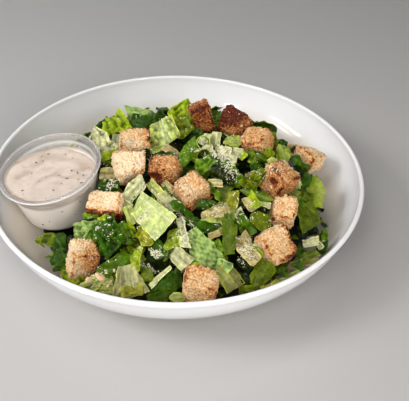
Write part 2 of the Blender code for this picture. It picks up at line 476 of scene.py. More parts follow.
# %% Turn the bowl
inner = wall_curve(BOWL_RADIUS - LIP_WIDTH, INNER_CURVE, 26)
outer = wall_curve(BOWL_RADIUS - LIP_STEP, OUTER_CURVE, 26)
bead = arc((BOWL_RADIUS - LIP_WIDTH / 2, BOWL_HEIGHT - LIP_WIDTH / 2), LIP_WIDTH / 2, 180, 0, 13)
under_bead = [
    (BOWL_RADIUS, WALL_TOP + LIP_EDGE),
    (BOWL_RADIUS - LIP_STEP - GROOVE, WALL_TOP + LIP_EDGE - 0.5 * MM),
    (BOWL_RADIUS - LIP_STEP - GROOVE, WALL_TOP + LIP_EDGE - GROOVE_DROP),
    (BOWL_RADIUS - LIP_STEP, WALL_TOP + LIP_EDGE - 1.3 * GROOVE_DROP),
]
outer = [spot for spot in outer if spot[1] < WALL_TOP + LIP_EDGE - 1.8 * GROOVE_DROP]
foot_outer, under = outer[-1]
foot_inner = foot_outer - FOOT_WIDTH
foot = [
    (foot_outer - FOOT_HEIGHT * 0.2, under - FOOT_HEIGHT * 0.6),
    (foot_outer - FOOT_HEIGHT * 0.7, 0.0),
    (foot_inner, 0.0),
    (foot_inner - FOOT_HEIGHT * 0.5, FOOT_HEIGHT * 0.4),
    (foot_inner - FOOT_HEIGHT, under),
]
rings = [(radius, inner[-1][1]) for radius in np.linspace(0, inner[-1][0], 6)[:-1]]
rings_under = [(radius, under) for radius in np.linspace(foot[-1][0], 0, 6)[1:]]
profile = rings + inner[::-1] + bead + under_bead + outer + foot + rings_under
bowl = spun("white_bowl", profile, 160)
print("bowl is", round(2 * BOWL_RADIUS, 3), "m across and", round(BOWL_HEIGHT, 3), "m high")

# %% [markdown]
# White glaze is almost even. What makes it real is a slight change of tone and gloss. Low on the
# inside wall a warm cream is painted on: partly the thin film and specks of dressing that tossing
# leaves there, and partly the food's warm reflection in the glaze, painted. It is a noise pattern that
# is kept to the lower wall by height.

# %% Glaze
glaze, tree, shader = new_look("white_glaze", 0.06, Specular_IOR_Level=0.32)
places = object_places(tree)
cloud = place_group(tree, grain_group, places, Scale=14.0).outputs["Grain"]
tone = blend(tree, cloud, shade(231, 232, 234), shade(238, 239, 242))
film_and_reflection = place_group(tree, grain_group, places, Scale=120.0).outputs["Grain"]
film_and_reflection = maths(tree, "MULTIPLY_ADD", film_and_reflection, 6.0, -3.3)
height = node(tree, "ShaderNodeSeparateXYZ")
tree.links.new(places, height.inputs["Vector"])
low_down = maths(tree, "MULTIPLY_ADD", height.outputs["Z"], -1 / (9 * MM), 3.1)
low_down = maths(tree, "MINIMUM", maths(tree, "MAXIMUM", low_down, 0.0), 1.0)
square = maths(tree, "POWER", height.outputs["X"], 2.0)
square = maths(tree, "ADD", square, maths(tree, "POWER", height.outputs["Y"], 2.0))
radius = maths(tree, "SQRT", square)
inside = maths(tree, "LESS_THAN", maths(tree, "SUBTRACT", radius, height.outputs["Z"]), 0.0965)
film_and_reflection = maths(tree, "MINIMUM", maths(tree, "MAXIMUM", film_and_reflection, 0.0), 1.0)
film_and_reflection = maths(tree, "MULTIPLY_ADD", film_and_reflection, 0.4, 0.6)
film_and_reflection = maths(tree, "MULTIPLY", maths(tree, "MULTIPLY", film_and_reflection, low_down), inside)
# the warm cream low inside: dressing film, and the food's reflection painted into the glaze
stained_and_reflecting = blend(tree, maths(tree, "MULTIPLY", film_and_reflection, 0.7), tone, shade(226, 208, 172))
tree.links.new(stained_and_reflecting, shader.inputs["Base Color"])
gloss = maths(tree, "MULTIPLY_ADD", cloud, 0.04, 0.02)
gloss = maths(tree, "MULTIPLY_ADD", film_and_reflection, 0.06, gloss)
tree.links.new(gloss, shader.inputs["Roughness"])
wave = place_group(tree, grain_group, places, Scale=40.0).outputs["Grain"]
bump(tree, shader, wave, 0.08 * MM, 0.6)
hand_over(bowl, glaze, "bowl", "bowl", sharp=35)

# %% [markdown]
# ## Cup of dressing
# A clear cup pressed from thin plastic: a rolled rim, a stacking band with a ledge under it, a
# tapered wall with a rounded corner, and a flat base. It is spun upright with its rim's top at
# zero, wall and all, and then leaned and set down in the bowl at a given place.

# %% The cup's sizes
CUP_RADIUS = 35.7 * MM
CUP_HEIGHT = 38.5 * MM
CUP_BASE_RADIUS = 28.5 * MM
CUP_CORNER = 8 * MM
CUP_WALL = 0.6 * MM
CUP_RIM_WIDTH = 3.2 * MM
CUP_RIM_HEIGHT = 2.2 * MM
CUP_LEDGE_DEPTH = 5 * MM
CUP_LEDGE = 0.9 * MM
CUP_UP = Vector((-0.175, -0.099, 0.980)).normalized()
CUP_RIM_CENTRE = Vector((-86.9, -9.2, 53.8)) * MM


def cup_side(inset):
    """The cup's side from under the rim to the base, set in from the outside."""
    band = CUP_RADIUS - CUP_RIM_WIDTH - inset
    ledge = band - CUP_LEDGE
    corner = (CUP_BASE_RADIUS - CUP_CORNER, -CUP_HEIGHT + CUP_CORNER)
    round_corner = arc(corner, CUP_CORNER - inset, -12, -90, 8)
    top, bottom = Vector((ledge, -CUP_LEDGE_DEPTH)), Vector(round_corner[0])
    taper = [tuple(top.lerp(bottom, share)) for share in np.linspace(0, 1, 8)[:-1]]
    step = [(band, -CUP_RIM_HEIGHT), (band - 0.2 * CUP_LEDGE, -CUP_LEDGE_DEPTH + 0.9 * CUP_LEDGE)]
    return step + taper + round_corner


def stand(piece):
    """Lean a piece of the cup outwards and set it in the bowl."""
    lean = Vector((0, 0, 1)).rotation_difference(CUP_UP).to_matrix().to_4x4()
    piece.data.transform(Matrix.Translation(CUP_RIM_CENTRE) @ lean)
    piece.data.update()


# %% Spin the cup
rim_middle = (CUP_RADIUS - CUP_RIM_WIDTH / 2, -CUP_RIM_HEIGHT / 2)
rim_round = CUP_RIM_WIDTH / CUP_RIM_HEIGHT
rim = [
    (rim_middle[0] + (r - rim_middle[0]) * rim_round, z)
    for r, z in arc(rim_middle, CUP_RIM_HEIGHT / 2, 165, -60, 14)
]
outside = cup_side(0)
inside = cup_side(CUP_WALL)
base = [(r, -CUP_HEIGHT) for r in np.linspace(outside[-1][0], 0, 5)[1:]]
hollow = [(r, -CUP_HEIGHT + CUP_WALL) for r in np.linspace(0, inside[-1][0], 5)[:-1]]
cup = spun("clear_cup", hollow + inside[::-1] + rim + outside + base, 112)
points = points_of(cup)
at_rim = smooth_step(points[:, 2], -CUP_RIM_HEIGHT - 0.1 * MM, -CUP_RIM_HEIGHT + 0.1 * MM)
# the rim's outer edge gets a painted highlight: a white, more solid line
painted_rim_highlight = smooth_step(np.hypot(points[:, 0], points[:, 1]), CUP_RADIUS - 0.7 * MM, CUP_RADIUS)
at_ledge = np.exp(-(((points[:, 2] + CUP_LEDGE_DEPTH) / (0.5 * MM)) ** 2))
whiter_lower_cup = smooth_step(-points[:, 2], CUP_HEIGHT - CUP_CORNER, CUP_HEIGHT)
# from 8 to 13 mm below the rim downwards the wall is painted whiter and more solid, as light on the dressing
# inside; the base corner's haze is the plastic's own
painted_wall_light = smooth_step(-points[:, 2], 8 * MM, 13 * MM)
whiter_lower_cup = np.maximum(whiter_lower_cup, painted_wall_light)
haze_and_painted_light = np.stack([at_rim, np.maximum(painted_rim_highlight, 0.7 * at_ledge), whiter_lower_cup, 1 + 0 * at_rim], axis=1)
layer = cup.data.color_attributes.new("haze_and_painted_light", "FLOAT_COLOR", "POINT")
layer.data.foreach_set("color", haze_and_painted_light.ravel())
stand(cup)

# %% [markdown]
# Plastic this thin hardly bends what is seen through it. So it is made see-through by alpha, which
# also lets the lamps reach the dressing: almost clear where it faces the eye, and whiter where the
# wall is seen edge on, which draws the rim and the ledge. A white line on the rim's outer edge is a
# painted highlight, and the wall lower down is made whiter and more solid as painted light on the
# dressing inside. The shine comes on top of that.

# %% Clear plastic
clear, tree, shader = new_look("clear_plastic", 0.08)
places = object_places(tree)
haze = place_group(tree, grain_group, places, Scale=60.0).outputs["Grain"]
haze_and_painted_light = node(tree, "ShaderNodeSeparateColor")
tree.links.new(attribute(tree, "haze_and_painted_light"), haze_and_painted_light.inputs["Color"])
rim_share, rim_highlight_and_ledge, corner_haze_and_wall_light = [haze_and_painted_light.outputs[part] for part in ("Red", "Green", "Blue")]
tree.links.new(maths(tree, "MULTIPLY_ADD", haze, 0.10, 0.02), shader.inputs["Roughness"])
plain = blend(tree, haze, shade(200, 198, 197), shade(214, 213, 212))
greyer = blend(tree, rim_share, plain, shade(188, 182, 184))
# the lower wall's near-white colour is painted light
greyer = blend(tree, corner_haze_and_wall_light, greyer, shade(255, 247, 238))
# the white on the rim's outer edge is a painted highlight
tree.links.new(blend(tree, rim_highlight_and_ledge, greyer, shade(246, 246, 245)), shader.inputs["Base Color"])
edge_on = node(tree, "ShaderNodeLayerWeight")
edge_on.inputs["Blend"].default_value = 0.30
whiter = maths(tree, "POWER", edge_on.outputs["Facing"], 2.0)
solid = maths(tree, "MULTIPLY_ADD", whiter, 0.55, 0.06)
solid = maths(tree, "MULTIPLY_ADD", rim_share, 0.30, solid)
solid = maths(tree, "MULTIPLY_ADD", rim_highlight_and_ledge, 0.6, solid)
solid = maths(tree, "MULTIPLY_ADD", corner_haze_and_wall_light, 0.82, solid)
tree.links.new(maths(tree, "MINIMUM", solid, 0.95), shader.inputs["Alpha"])
hand_over(cup, clear, "cup", "dressing_cup", sharp=50)

# %% [markdown]
# The dressing fills the leaning cup to a level surface. So the filling is spun to fit the cup, a
# little into its wall so that no gap of air shows, leaned with it, and then cut off level with a
# bisect that closes the cut. Insets draw the rim where the dressing climbs the wall.

# %% Fill the cup
DRESSING_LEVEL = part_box("dressing")[1].z
REACH = 0.25 * MM                   # how far the dressing reaches into the wall
CLIMB = 0.8 * MM                    # how high it climbs at the wall

side = cup_side(CUP_WALL - REACH)
bottom = [(0.0, -CUP_HEIGHT + CUP_WALL - REACH)]
dressing = spun("creamy_dressing", [(0.0, 0.0), (side[0][0], 0.0)] + side + bottom, 112)
stand(dressing)
open_mesh(dressing)
bpy.ops.mesh.bisect(
    plane_co=(0, 0, DRESSING_LEVEL + CLIMB), plane_no=(0, 0, 1), use_fill=True, clear_outer=True
)
for width, drop in ((0.5, 0.35), (0.7, 0.3), (1.2, 0.12), (3.0, 0.03)):
    bpy.ops.mesh.inset(thickness=width * MM)
    bpy.ops.transform.translate(value=(0, 0, -drop * MM))
bpy.ops.mesh.poke()
bpy.ops.mesh.subdivide(number_cuts=5)
close_mesh()
points = points_of(dressing)
open_water = points[:, 2] > DRESSING_LEVEL - 0.06 * MM
swell = 0.8 * MM * rough(points * [1, 1, 0], 11 * MM)
from_rim = np.hypot(*(points[:, :2] - np.array(CUP_RIM_CENTRE)[:2]).T)
points[:, 2] += np.where(open_water, swell * (1 - smooth_step(from_rim, 22 * MM, 29 * MM)), 0)
set_points(dressing, points)

# %% Creamy dressing
cream, tree, shader = new_look("creamy_dressing", 0.25, Subsurface_Weight=0.6,
                             Subsurface_Radius=(1.0, 0.85, 0.65), Subsurface_Scale=7 * MM)
places = object_places(tree)
# blotches of lighter and darker cream: smudges, and painted soft shade
smudge_and_shade = place_group(tree, grain_group, places, Scale=70.0).outputs["Grain"]
smudge_and_shade = maths(tree, "MULTIPLY_ADD", smudge_and_shade, 2.2, -0.6)
smudge_and_shade = maths(tree, "MINIMUM", maths(tree, "MAXIMUM", smudge_and_shade, 0.0), 1.0)
tree.links.new(blend(tree, smudge_and_shade, shade(184, 164, 148), shade(220, 205, 191)), shader.inputs["Base Color"])
tree.links.new(maths(tree, "MULTIPLY_ADD", smudge_and_shade, 0.15, 0.14), shader.inputs["Roughness"])
herbs = place_group(tree, grain_group, places, Scale=500.0).outputs["Grain"]
bump(tree, shader, herbs, 0.1 * MM, 0.5)
hand_over(dressing, cream, "dressing", "dressing", sharp=60)

# %% [markdown]
# ## Croutons
# Bread cut into rough cubes and toasted. Each starts as a cube the size of its solid, is
# subdivided, and then loses its regular look: the corners draw in, the faces swell, and pores are
# pushed in with a cell pattern. How brown each point is goes into a colour attribute: edges that
# stand out brown first, and some sides were nearer to the heat. Pores and holes are painted darker
# as shade, and the tops of the crumb's grains paler as painted light.

# %% Where each crouton lies
CROUTONS = [  # size, turns about x y z, pale or brown from 0 to 1, the side that is browner, how
    # much, and the side with a deep hole
    ((21, 17, 16), (20, 8, 12), 0.32, (1, 0, 0), 0.15, (0.9, -0.3, 0.6)),
    ((19, 19, 17), (28, 6, 16), 0.06, (1, -1, -1), 0.55, None),
    ((20, 15, 15), (14, -6, -14), 0.54, (-1, -1, 0), 0.20, (-0.5, -1, 0.1)),
    ((20, 19, 19), (18, -14, 34), 0.36, (0, -1, -1), 0.30, None),
    ((16, 12, 23), (-12, -14, 10), 0.70, (-1, 0, 0), 0.10, None),
    ((22, 16, 16), (8, 12, -38), 0.70, (-1, 0, 1), 0.70, (-0.3, 0.2, 1)),
    ((20, 19, 17), (24, -16, -30), 0.44, (0, 0, -1), 0.15, None),
    ((19, 18, 15), (6, 22, 40), 0.20, (-1, 0, 0), 0.10, None),
    ((21, 19, 20), (12, 10, 38), 0.52, (0, -1, -1), 0.10, (-1, -0.25, 0.3)),
    ((16, 18, 17), (24, 4, -12), 0.34, (0, 0, -1), 0.15, (-1, -1, 0.2)),
    ((21, 14, 22), (-44, 0, 42), 0.30, (1, 0, -0.6), 0.35, None),
    ((21, 18, 20), (10, 4, -8), 0.36, (0, 0, -1), 0.20, None),
    ((17, 17, 25), (8, 10, 22), 0.20, (1, -1, 0.5), 0.40, None),
    ((23, 16, 14), (20, -8, -16), 0.16, (0, -1, -0.4), 1.0, None),
]
SQUARENESS = 5.6                    # 2 would be a ball, and a large number a sharp cube
WEDGE = 0.13                        # how far opposite sides are from parallel
UNEVEN = 1.9 * MM                   # large dents and swellings
LUMP = 0.7 * MM                    # smaller ones
CRUMB = 1.2 * MM                   # the grains of the crumb
CRUMB_SIZE = 1.3 * MM
PORE = 1.1 * MM                     # depth of the pores
PORE_SIZE = 2.1 * MM
HOLE = 3.2 * MM                     # depth of a hole left by a large bubble
HOLE_SIZE = 2.6 * MM


def bread_cube(name, size):
    """A cube of bread with enough faces for its pores."""
    let_go()
    bpy.ops.mesh.primitive_cube_add(size=1)
    piece = bpy.context.object
    piece.name = name
    piece.scale = [part * MM for part in size]
    bpy.ops.object.transform_apply(location=False, rotation=False, scale=True)
    open_mesh(piece)
    bpy.ops.mesh.subdivide(number_cuts=2)
    close_mesh()
    modify(piece, "SUBSURF", subdivision_type="SIMPLE", levels=4, render_levels=4)
    apply_modifiers(piece)
    return piece


# %% Shape and toast one crouton
def cells(points, size, shift):
    """How far each point is from the middle of its cell, 0 to about 0.7."""
    place = Vector((shift, 0, 0))
    return np.array([noise.voronoi(Vector(row) / size + place)[0][0] for row in points])


def tear(piece, size, seed, hole):
    """Round, dent and pierce a cube of bread. Gives back its shape before, its relief and pores."""
    half = np.array(size) * MM / 2
    unit = points_of(piece) / half
    squared = np.sum(np.abs(unit) ** SQUARENESS, axis=1) ** (1 / SQUARENESS)
    points = unit / squared[:, None] * half
    chance = random.Random(seed)
    for axis in range(3):
        for other in {0, 1, 2} - {axis}:
            points[:, axis] *= 1 + chance.uniform(-WEDGE, WEDGE) * unit[:, other]
    outward = unit / np.linalg.norm(unit, axis=1)[:, None]
    shift = seed * 3.7
    large = rough(points, 9 * MM, shift)
    middle = rough(points, 2.6 * MM, shift + 9)
    grain = 0.5 - 1.3 * cells(points, CRUMB_SIZE, shift)
    holes = smooth_step(rough(points, 6 * MM, shift + 2), -0.1, 0.4)
    pit = (1 - smooth_step(cells(points, PORE_SIZE, shift + 5), 0.08, 0.26)) * holes
    if hole:
        spot = np.array(hole, float) / max(np.abs(hole)) * half
        deep = np.exp(-((np.linalg.norm(points - spot, axis=1) / HOLE_SIZE) ** 2))
        pit = np.maximum(pit, HOLE / PORE * deep)
    relief = UNEVEN * large + LUMP * middle + CRUMB * grain - PORE * pit
    set_points(piece, points + outward * relief[:, None])
    return unit, pit, large, middle, grain


def brown(piece, unit, pit, large, middle, grain, pale, side, extra):
    """Write how toasted each point is, with painted shade in its pores and holes and painted light on its grains.
    """
    edge = np.sort(np.abs(unit), axis=1)[:, 1]
    turned = unit @ (np.array(side, float) / np.linalg.norm(side))
    # pores and holes are painted darker as shade, and raised crumb grains paler as painted light
    toast_and_shade = pale + 0.40 * smooth_step(edge, 0.72, 1.0) * smooth_step(middle + large, -0.4, 0.6) + 0.40 * np.minimum(pit, 1)
    toast_and_shade += 0.10 * np.maximum(pit - 1, 0) + extra * smooth_step(turned, 0.1, 1.1) + 0.16 * large + 0.10 * middle - 0.44 * grain
    shades = np.repeat(np.clip(toast_and_shade, 0, 1)[:, None], 4, axis=1)
    shades[:, 1] = pit
    shades[:, 3] = 1
    layer = piece.data.color_attributes.new("toast_and_shade", "FLOAT_COLOR", "POINT")
    layer.data.foreach_set("color", shades.ravel())


# %% [markdown]
# Toast runs through one row of colours, from cream crumb through gold and brown to almost black
# where it caught. A colour ramp holds that row, and the attribute picks the place in it.

# %% Toasted bread
TOAST = [
    (0.00, shade(240, 222, 190)),
    (0.25, shade(226, 188, 138)),
    (0.50, shade(200, 142, 82)),
    (0.72, shade(150, 84, 38)),
    (0.88, shade(92, 30, 16)),
    (1.00, shade(48, 12, 12)),
]
bread, tree, shader = new_look("toasted_bread", 0.8, Specular_IOR_Level=0.3)
places = object_places(tree)
grain = place_group(tree, grain_group, places, Scale=800.0).outputs["Grain"]
toast_and_shade = node(tree, "ShaderNodeSeparateColor")
tree.links.new(attribute(tree, "toast_and_shade"), toast_and_shade.inputs["Color"])
level = maths(tree, "MULTIPLY_ADD", grain, 0.90, toast_and_shade.outputs["Red"])
speck = node(tree, "ShaderNodeTexVoronoi")
speck.inputs["Scale"].default_value = 1 / (1.6 * MM)
tree.links.new(places, speck.inputs["Vector"])
speck = maths(tree, "MAXIMUM", maths(tree, "MULTIPLY_ADD", speck.outputs["Distance"], -4.0, 1.0), 0.0)
level = maths(tree, "MULTIPLY_ADD", speck, 0.42, level)
level = maths(tree, "SUBTRACT", level, 0.56)
ramp = node(tree, "ShaderNodeValToRGB")
for stop, colour in TOAST[2:]:
    ramp.color_ramp.elements.new(stop)
for element, (stop, colour) in zip(ramp.color_ramp.elements, TOAST):
    element.position = stop
    element.color = colour
tree.links.new(level, ramp.inputs["Fac"])
tree.links.new(ramp.outputs["Color"], shader.inputs["Base Color"])
tree.links.new(maths(tree, "MULTIPLY_ADD", toast_and_shade.outputs["Red"], -0.25, 0.9), shader.inputs["Roughness"])
crumb = place_group(tree, grain_group, places, Scale=1500.0).outputs["Grain"]
bump(tree, shader, crumb, 0.5 * MM, 0.9)

# %% Make the croutons
crouton_centres = []
for number, (size, turns, pale, side, extra, hole) in enumerate(CROUTONS, start=1):
    solid = f"crouton_{number:02d}"
    low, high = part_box(solid)
    centre = (low + high) / 2
    crouton_centres.append((centre, max(size) * MM / 2))
    piece = bread_cube(f"toasted_crouton_{number:02d}", size)
    brown(piece, *tear(piece, size, number, hole), pale, side, extra)
    piece.location = centre
    piece.rotation_euler = [math.radians(turn) for turn in turns]
    hand_over(piece, bread, "crouton", solid, sharp=32)

# %% [markdown]
# ## Lettuce
# A salad heap is a few hundred cut pieces of leaf. Each piece here is a grid drawn into the
# outline of the piece, cut straight across where a knife went, then given a thick rib, the blisters
# between its veins, and a bend, and last a thickness. The operators that bend need a window, so the
# bending is done with a formula. Below them a darker core fills the heap, so that no gap shows the
# bowl.

# %% The heap's surface
HEAP_TOP = 55 * MM
HEAP_DROP = 24 * MM
HEAP_REACH = 98 * MM


def heap_height(x, y):
    """The smooth dome that the leaves lie on."""
    out = np.hypot(np.asarray(x) - 4 * MM, y) / HEAP_REACH
    dome = HEAP_TOP - HEAP_DROP * out ** 2.4
    return np.maximum(dome, bowl_floor(np.hypot(x, y)) + 2 * MM)


def heap_slope(x, y):
    """The dome's outward direction at a place."""
    step = 2 * MM
    dx = heap_height(x + step, y) - heap_height(x - step, y)
    dy = heap_height(x, y + step) - heap_height(x, y - step)
    return Vector((-dx / (2 * step), -dy / (2 * step), 1)).normalized()


# %% Kinds of cut leaf
PALETTE = {
    "ivory": shade(188, 190, 142),
    "pale": shade(156, 168, 74),
    "straw": shade(180, 168, 112),
    "beige": shade(160, 140, 88),
    "stone": shade(140, 140, 84),
    "pale_lime": shade(184, 200, 122),
    "lime": shade(148, 168, 42),
    "yellow": shade(130, 132, 28),
    "olive_yellow": shade(130, 130, 40),
    "yellow_green": shade(132, 152, 20),
    "olive": shade(92, 108, 4),
    "bright": shade(48, 76, 0),
    "mid": shade(86, 122, 14),
    "green": shade(56, 84, 0),
    # a pale grey green: the leaf's own green with painted sheen
    "grey_green_and_sheen": shade(136, 162, 88),
    "dim": shade(78, 96, 10),
    "dark": shade(40, 74, 4),
    "deep": shade(14, 27, 0),
}
# bend: degrees along; cup: degrees across; fold: slope each side of the rib; twist: degrees end to
# end; round: 0 square to 1 oval; lens: how far both ends narrow; taper: wider at the far end; ends:
# how far each end's cut is turned from square; ragged: how uneven the outline is; frill, blister:
# waves in mm; pleat: height, spacing and turn of small folds; crease: slope beside a fold; rib:
# thickness and width of the midrib in mm; rib_at: where it runs, -1 to 1 across; ridge: strings
# along the rib in mm; veins, gloss: 0 to 1; cuts: how many corners the knife took
KINDS = {
    "blade": dict(
        bend=38, cup=34, fold=0.1, twist=14, round=0.25, lens=0.0, taper=0.1, ends=(0, 0), ragged=0.4,
        frill=0.8, blister=1.3, pleat=(0.0, 3.0, 0), crease=0.3, rib=(0.6, 0.9), rib_at=0.0,
        ridge=0.0, veins=0.10, gloss=0.6, cuts=2,
    ),
    "frilly": dict(
        bend=20, cup=25, fold=0.0, twist=10, round=0.5, lens=0.0, taper=0.25, ends=(0, 0), ragged=1.4,
        frill=1.6, blister=1.1, pleat=(0.0, 3.0, 0), crease=0.3, rib=(0.6, 0.9), rib_at=0.0,
        ridge=0.0, veins=0.10, gloss=0.6, cuts=1,
    ),
    "rib": dict(
        bend=12, cup=-35, fold=0.0, twist=6, round=0.08, lens=0.0, taper=0.1, ends=(0, 0), ragged=0.6,
        frill=0.4, blister=1.1, pleat=(0.0, 3.0, 0), crease=0.1, rib=(1.6, 4.0), rib_at=0.0,
        ridge=0.9, veins=0.0, gloss=0.7, cuts=1,
    ),
}


# %% Draw the outline of a piece
def leaf_grid(length, width, traits, chance, cell):
    """A grid drawn into a rounded, tapered outline, with its ends and corners cut off. In mm."""
    far, near = [math.radians(turn) for turn in traits["ends"]]
    spare = 0.6 * width * max(abs(math.tan(far)), abs(math.tan(near)))
    whole = length + 2 * spare
    let_go()
    bpy.ops.mesh.primitive_grid_add(
        x_subdivisions=max(4, round(width / cell)), y_subdivisions=max(4, round(whole / cell)), size=1
    )
    piece = bpy.context.object
    flat = points_of(piece) * 2
    u, v = flat[:, 0], flat[:, 1]
    x = u * np.sqrt(1 - traits["round"] * v * v / 2) * (1 - traits["lens"] * v * v)
    y = v * np.sqrt(1 - traits["round"] * u * u / 2)
    x = x * (1 + traits["taper"] * y) * width / 2
    y = y * whole / 2
    wander = chance.uniform(0, 90)
    edge = np.maximum(np.abs(u), np.abs(v)) ** 4
    flat = np.stack([x, y, 0 * x], axis=1)
    swell = rough(flat, 6.0, wander) * 1.3 + rough(flat, 2.2, wander) * 0.5
    flat *= (1 + traits["ragged"] * edge * swell / (0.25 * (length + width)))[:, None]
    set_points(piece, flat * MM)
    open_mesh(piece)
    knife = []
    if spare > 0:
        knife.append((Vector((0, length / 2, 0)), Vector((math.sin(far), math.cos(far), 0))))
        knife.append((Vector((0, -length / 2, 0)), Vector((math.sin(near), -math.cos(near), 0))))
    for _ in range(traits["cuts"]):
        turn = chance.uniform(0, math.tau)
        away = Vector((math.cos(turn), math.sin(turn), 0))
        reach = abs(away.x) * width / 2 + abs(away.y) * length / 2
        knife.append((away * reach * chance.uniform(0.72, 0.86), away))
    for at, away in knife:
        bpy.ops.mesh.select_all(action="SELECT")
        bpy.ops.mesh.bisect(plane_co=at * MM, plane_no=away, clear_outer=True)
    close_mesh()
    return piece


# %% Bend a strip of points round an arc
def rolled(run, rise, span, degrees):
    """Points at run along a flat strip, lifted by rise, once the strip is bent by so many degrees."""
    if abs(degrees) < 1:
        return run, rise
    radius = span / math.radians(degrees)
    turn = run / radius
    return (radius + rise) * np.sin(turn), (radius + rise) * np.cos(turn) - radius


# %% Relief of a piece
VEIN_SPACING = 6.5                  # mm between side veins
VEIN_RISE = 0.9                     # how steeply they leave the midrib


def quilted(flat, size, shift):
    """Blisters: each cell swells, and a crease runs between cells. From 0 to about 1."""
    spots = [noise.voronoi(Vector((row[0], row[1] * 0.7, shift)) / size)[0] for row in flat]
    gaps = np.array([spot[1] - spot[0] for spot in spots])
    return np.sqrt(np.clip(gaps, 0, 0.5) * 2)


def creased(flat, length, width, chance):
    """One soft fold across the piece, in mm."""
    turn = chance.uniform(0, math.pi)
    across = (flat[:, 0] - chance.uniform(-0.2, 0.2) * width) * math.cos(turn)
    across += (flat[:, 1] - chance.uniform(-0.25, 0.25) * length) * math.sin(turn)
    return np.sqrt(across * across + 1.0) - 1.0


def pleated(flat, broad, height, spacing, turn):
    """Small sharp folds side by side, in mm."""
    way = math.radians(turn)
    across = flat[:, 0] * math.cos(way) + flat[:, 1] * math.sin(way)
    return height * (np.abs(np.sin(np.pi * (across / spacing + 1.6 * broad))) - 0.5)


# %% Shape one piece of leaf
def relief_of(flat, aside, near_rib, traits, kind, size, seed, chance):
    """How far each point of the flat piece stands up, in mm, its small relief, and its veins."""
    length, width = size
    x, y = flat[:, 0], flat[:, 1]
    shift = seed * 1.93
    broad = rough(flat, 13.0, shift + 4)
    phase = (y - VEIN_RISE * np.abs(aside)) / VEIN_SPACING + 0.7 * broad + seed * 0.37
    sides = np.abs(np.sin(np.pi * phase))
    seen = smooth_step(rough(flat, 9.0, shift), -0.4, 0.4)
    between = (sides ** 0.7 - 0.5) * seen
    quilt = quilted(flat, 4.6, shift)
    veins = np.maximum(np.exp(-((sides / 0.2) ** 2)) * seen, 0.3 * np.exp(-((quilt / 0.3) ** 2)))
    lumps = rough(flat, 3.6, shift)
    fine = rough(flat, 1.7, shift + 3)
    small = 0.7 * between + 1.5 * (quilt - 0.5) + 1.1 * lumps + 0.8 * fine
    edge = np.maximum(np.abs(x) / (width / 2), np.abs(y) / (length / 2))
    small *= traits["blister"] * (1 - 0.7 * near_rib) * (1 - 0.6 * smooth_step(edge, 0.7, 1.0))
    small += pleated(flat, broad, *traits["pleat"])
    strings = np.stack([x / 1.3, y / 16.0, 0 * x], axis=1)
    small += traits["ridge"] * rough(strings, 1.0, shift) * near_rib
    rise = small + 2.4 * broad * (1 if kind != "rib" else 0.4)
    rise += traits["crease"] * chance.choice((-1, 1)) * creased(flat, length, width, chance)
    rim = smooth_step(np.abs(x) / (width / 2), 0.45, 1.0)
    wave = np.sin(math.tau * y / chance.uniform(7, 11) + chance.uniform(0, 6))
    rise += traits["frill"] * rim * (wave + 0.8 * rough(flat, 4.0, shift + 8))
    rise += traits["fold"] * np.abs(aside) - 0.25 * traits["rib"][0] * near_rib
    return rise, small, np.maximum(veins, 0.8 * np.exp(-((aside / 0.6) ** 2)))


def cut_leaf(kind, length, width, blade, rib_colour, seed, cell=0.55, **changes):
    """One cut piece, flat side up round the origin, with its map, colours and thickness marked."""
    traits = {**KINDS[kind], **changes}
    chance = random.Random(seed)
    piece = leaf_grid(length, width, traits, chance, cell)
    flat = points_of(piece) / MM
    x, y = flat[:, 0], flat[:, 1]
    thick, spread = traits["rib"]
    thick = min(thick, 0.17 * width)
    aside = x - traits["rib_at"] * width / 2
    near_rib = np.exp(-((aside / spread) ** 2))
    rise, small, veins = relief_of(flat, aside, near_rib, traits, kind, (length, width), seed, chance)
    turn = np.radians(traits["twist"]) * y / length
    x, rise = x * np.cos(turn) - rise * np.sin(turn), x * np.sin(turn) + rise * np.cos(turn)
    x, rise = rolled(x, rise, width, traits["cup"])
    y, rise = rolled(y, rise, length, traits["bend"])
    set_points(piece, np.stack([x, y, rise], axis=1) * MM)
    paint_leaf(piece, flat, aside, near_rib, (small, veins), blade, rib_colour, traits, seed)
    mark_thickness(piece, near_rib, thick)
    return piece


# %% Thickness, map and colours of a piece
def on_cut_edge(mesh):
    """1 at the points on the outline of an open mesh, 0 inside."""
    sides = np.empty(len(mesh.loops), int)
    mesh.loops.foreach_get("edge_index", sides)
    ends = np.empty(2 * len(mesh.edges), int)
    mesh.edges.foreach_get("vertices", ends)
    uses = np.bincount(sides, minlength=len(mesh.edges))
    found = np.zeros(len(mesh.vertices))
    found[ends.reshape(-1, 2)[uses == 1].ravel()] = 1
    return found


LEAF_THICK = 0.4                    # mm, away from the rib
RIB_MOST = 3.5                      # mm, the thickest rib


def mark_thickness(piece, near_rib, thick):
    """Mark how thick the piece is: thin at the edges, thick along the rib."""
    group = piece.vertex_groups.new(name="thickness")
    for index, share in enumerate(near_rib):
        here = LEAF_THICK + max(thick - LEAF_THICK, 0) * float(share)
        group.add([index], here / RIB_MOST, "REPLACE")


def thicken(piece):
    """Give leaves their marked thickness."""
    modify(piece, "SOLIDIFY", thickness=RIB_MOST * MM, offset=-1, vertex_group="thickness")
    apply_modifiers(piece)
    piece.vertex_groups.clear()
    return piece


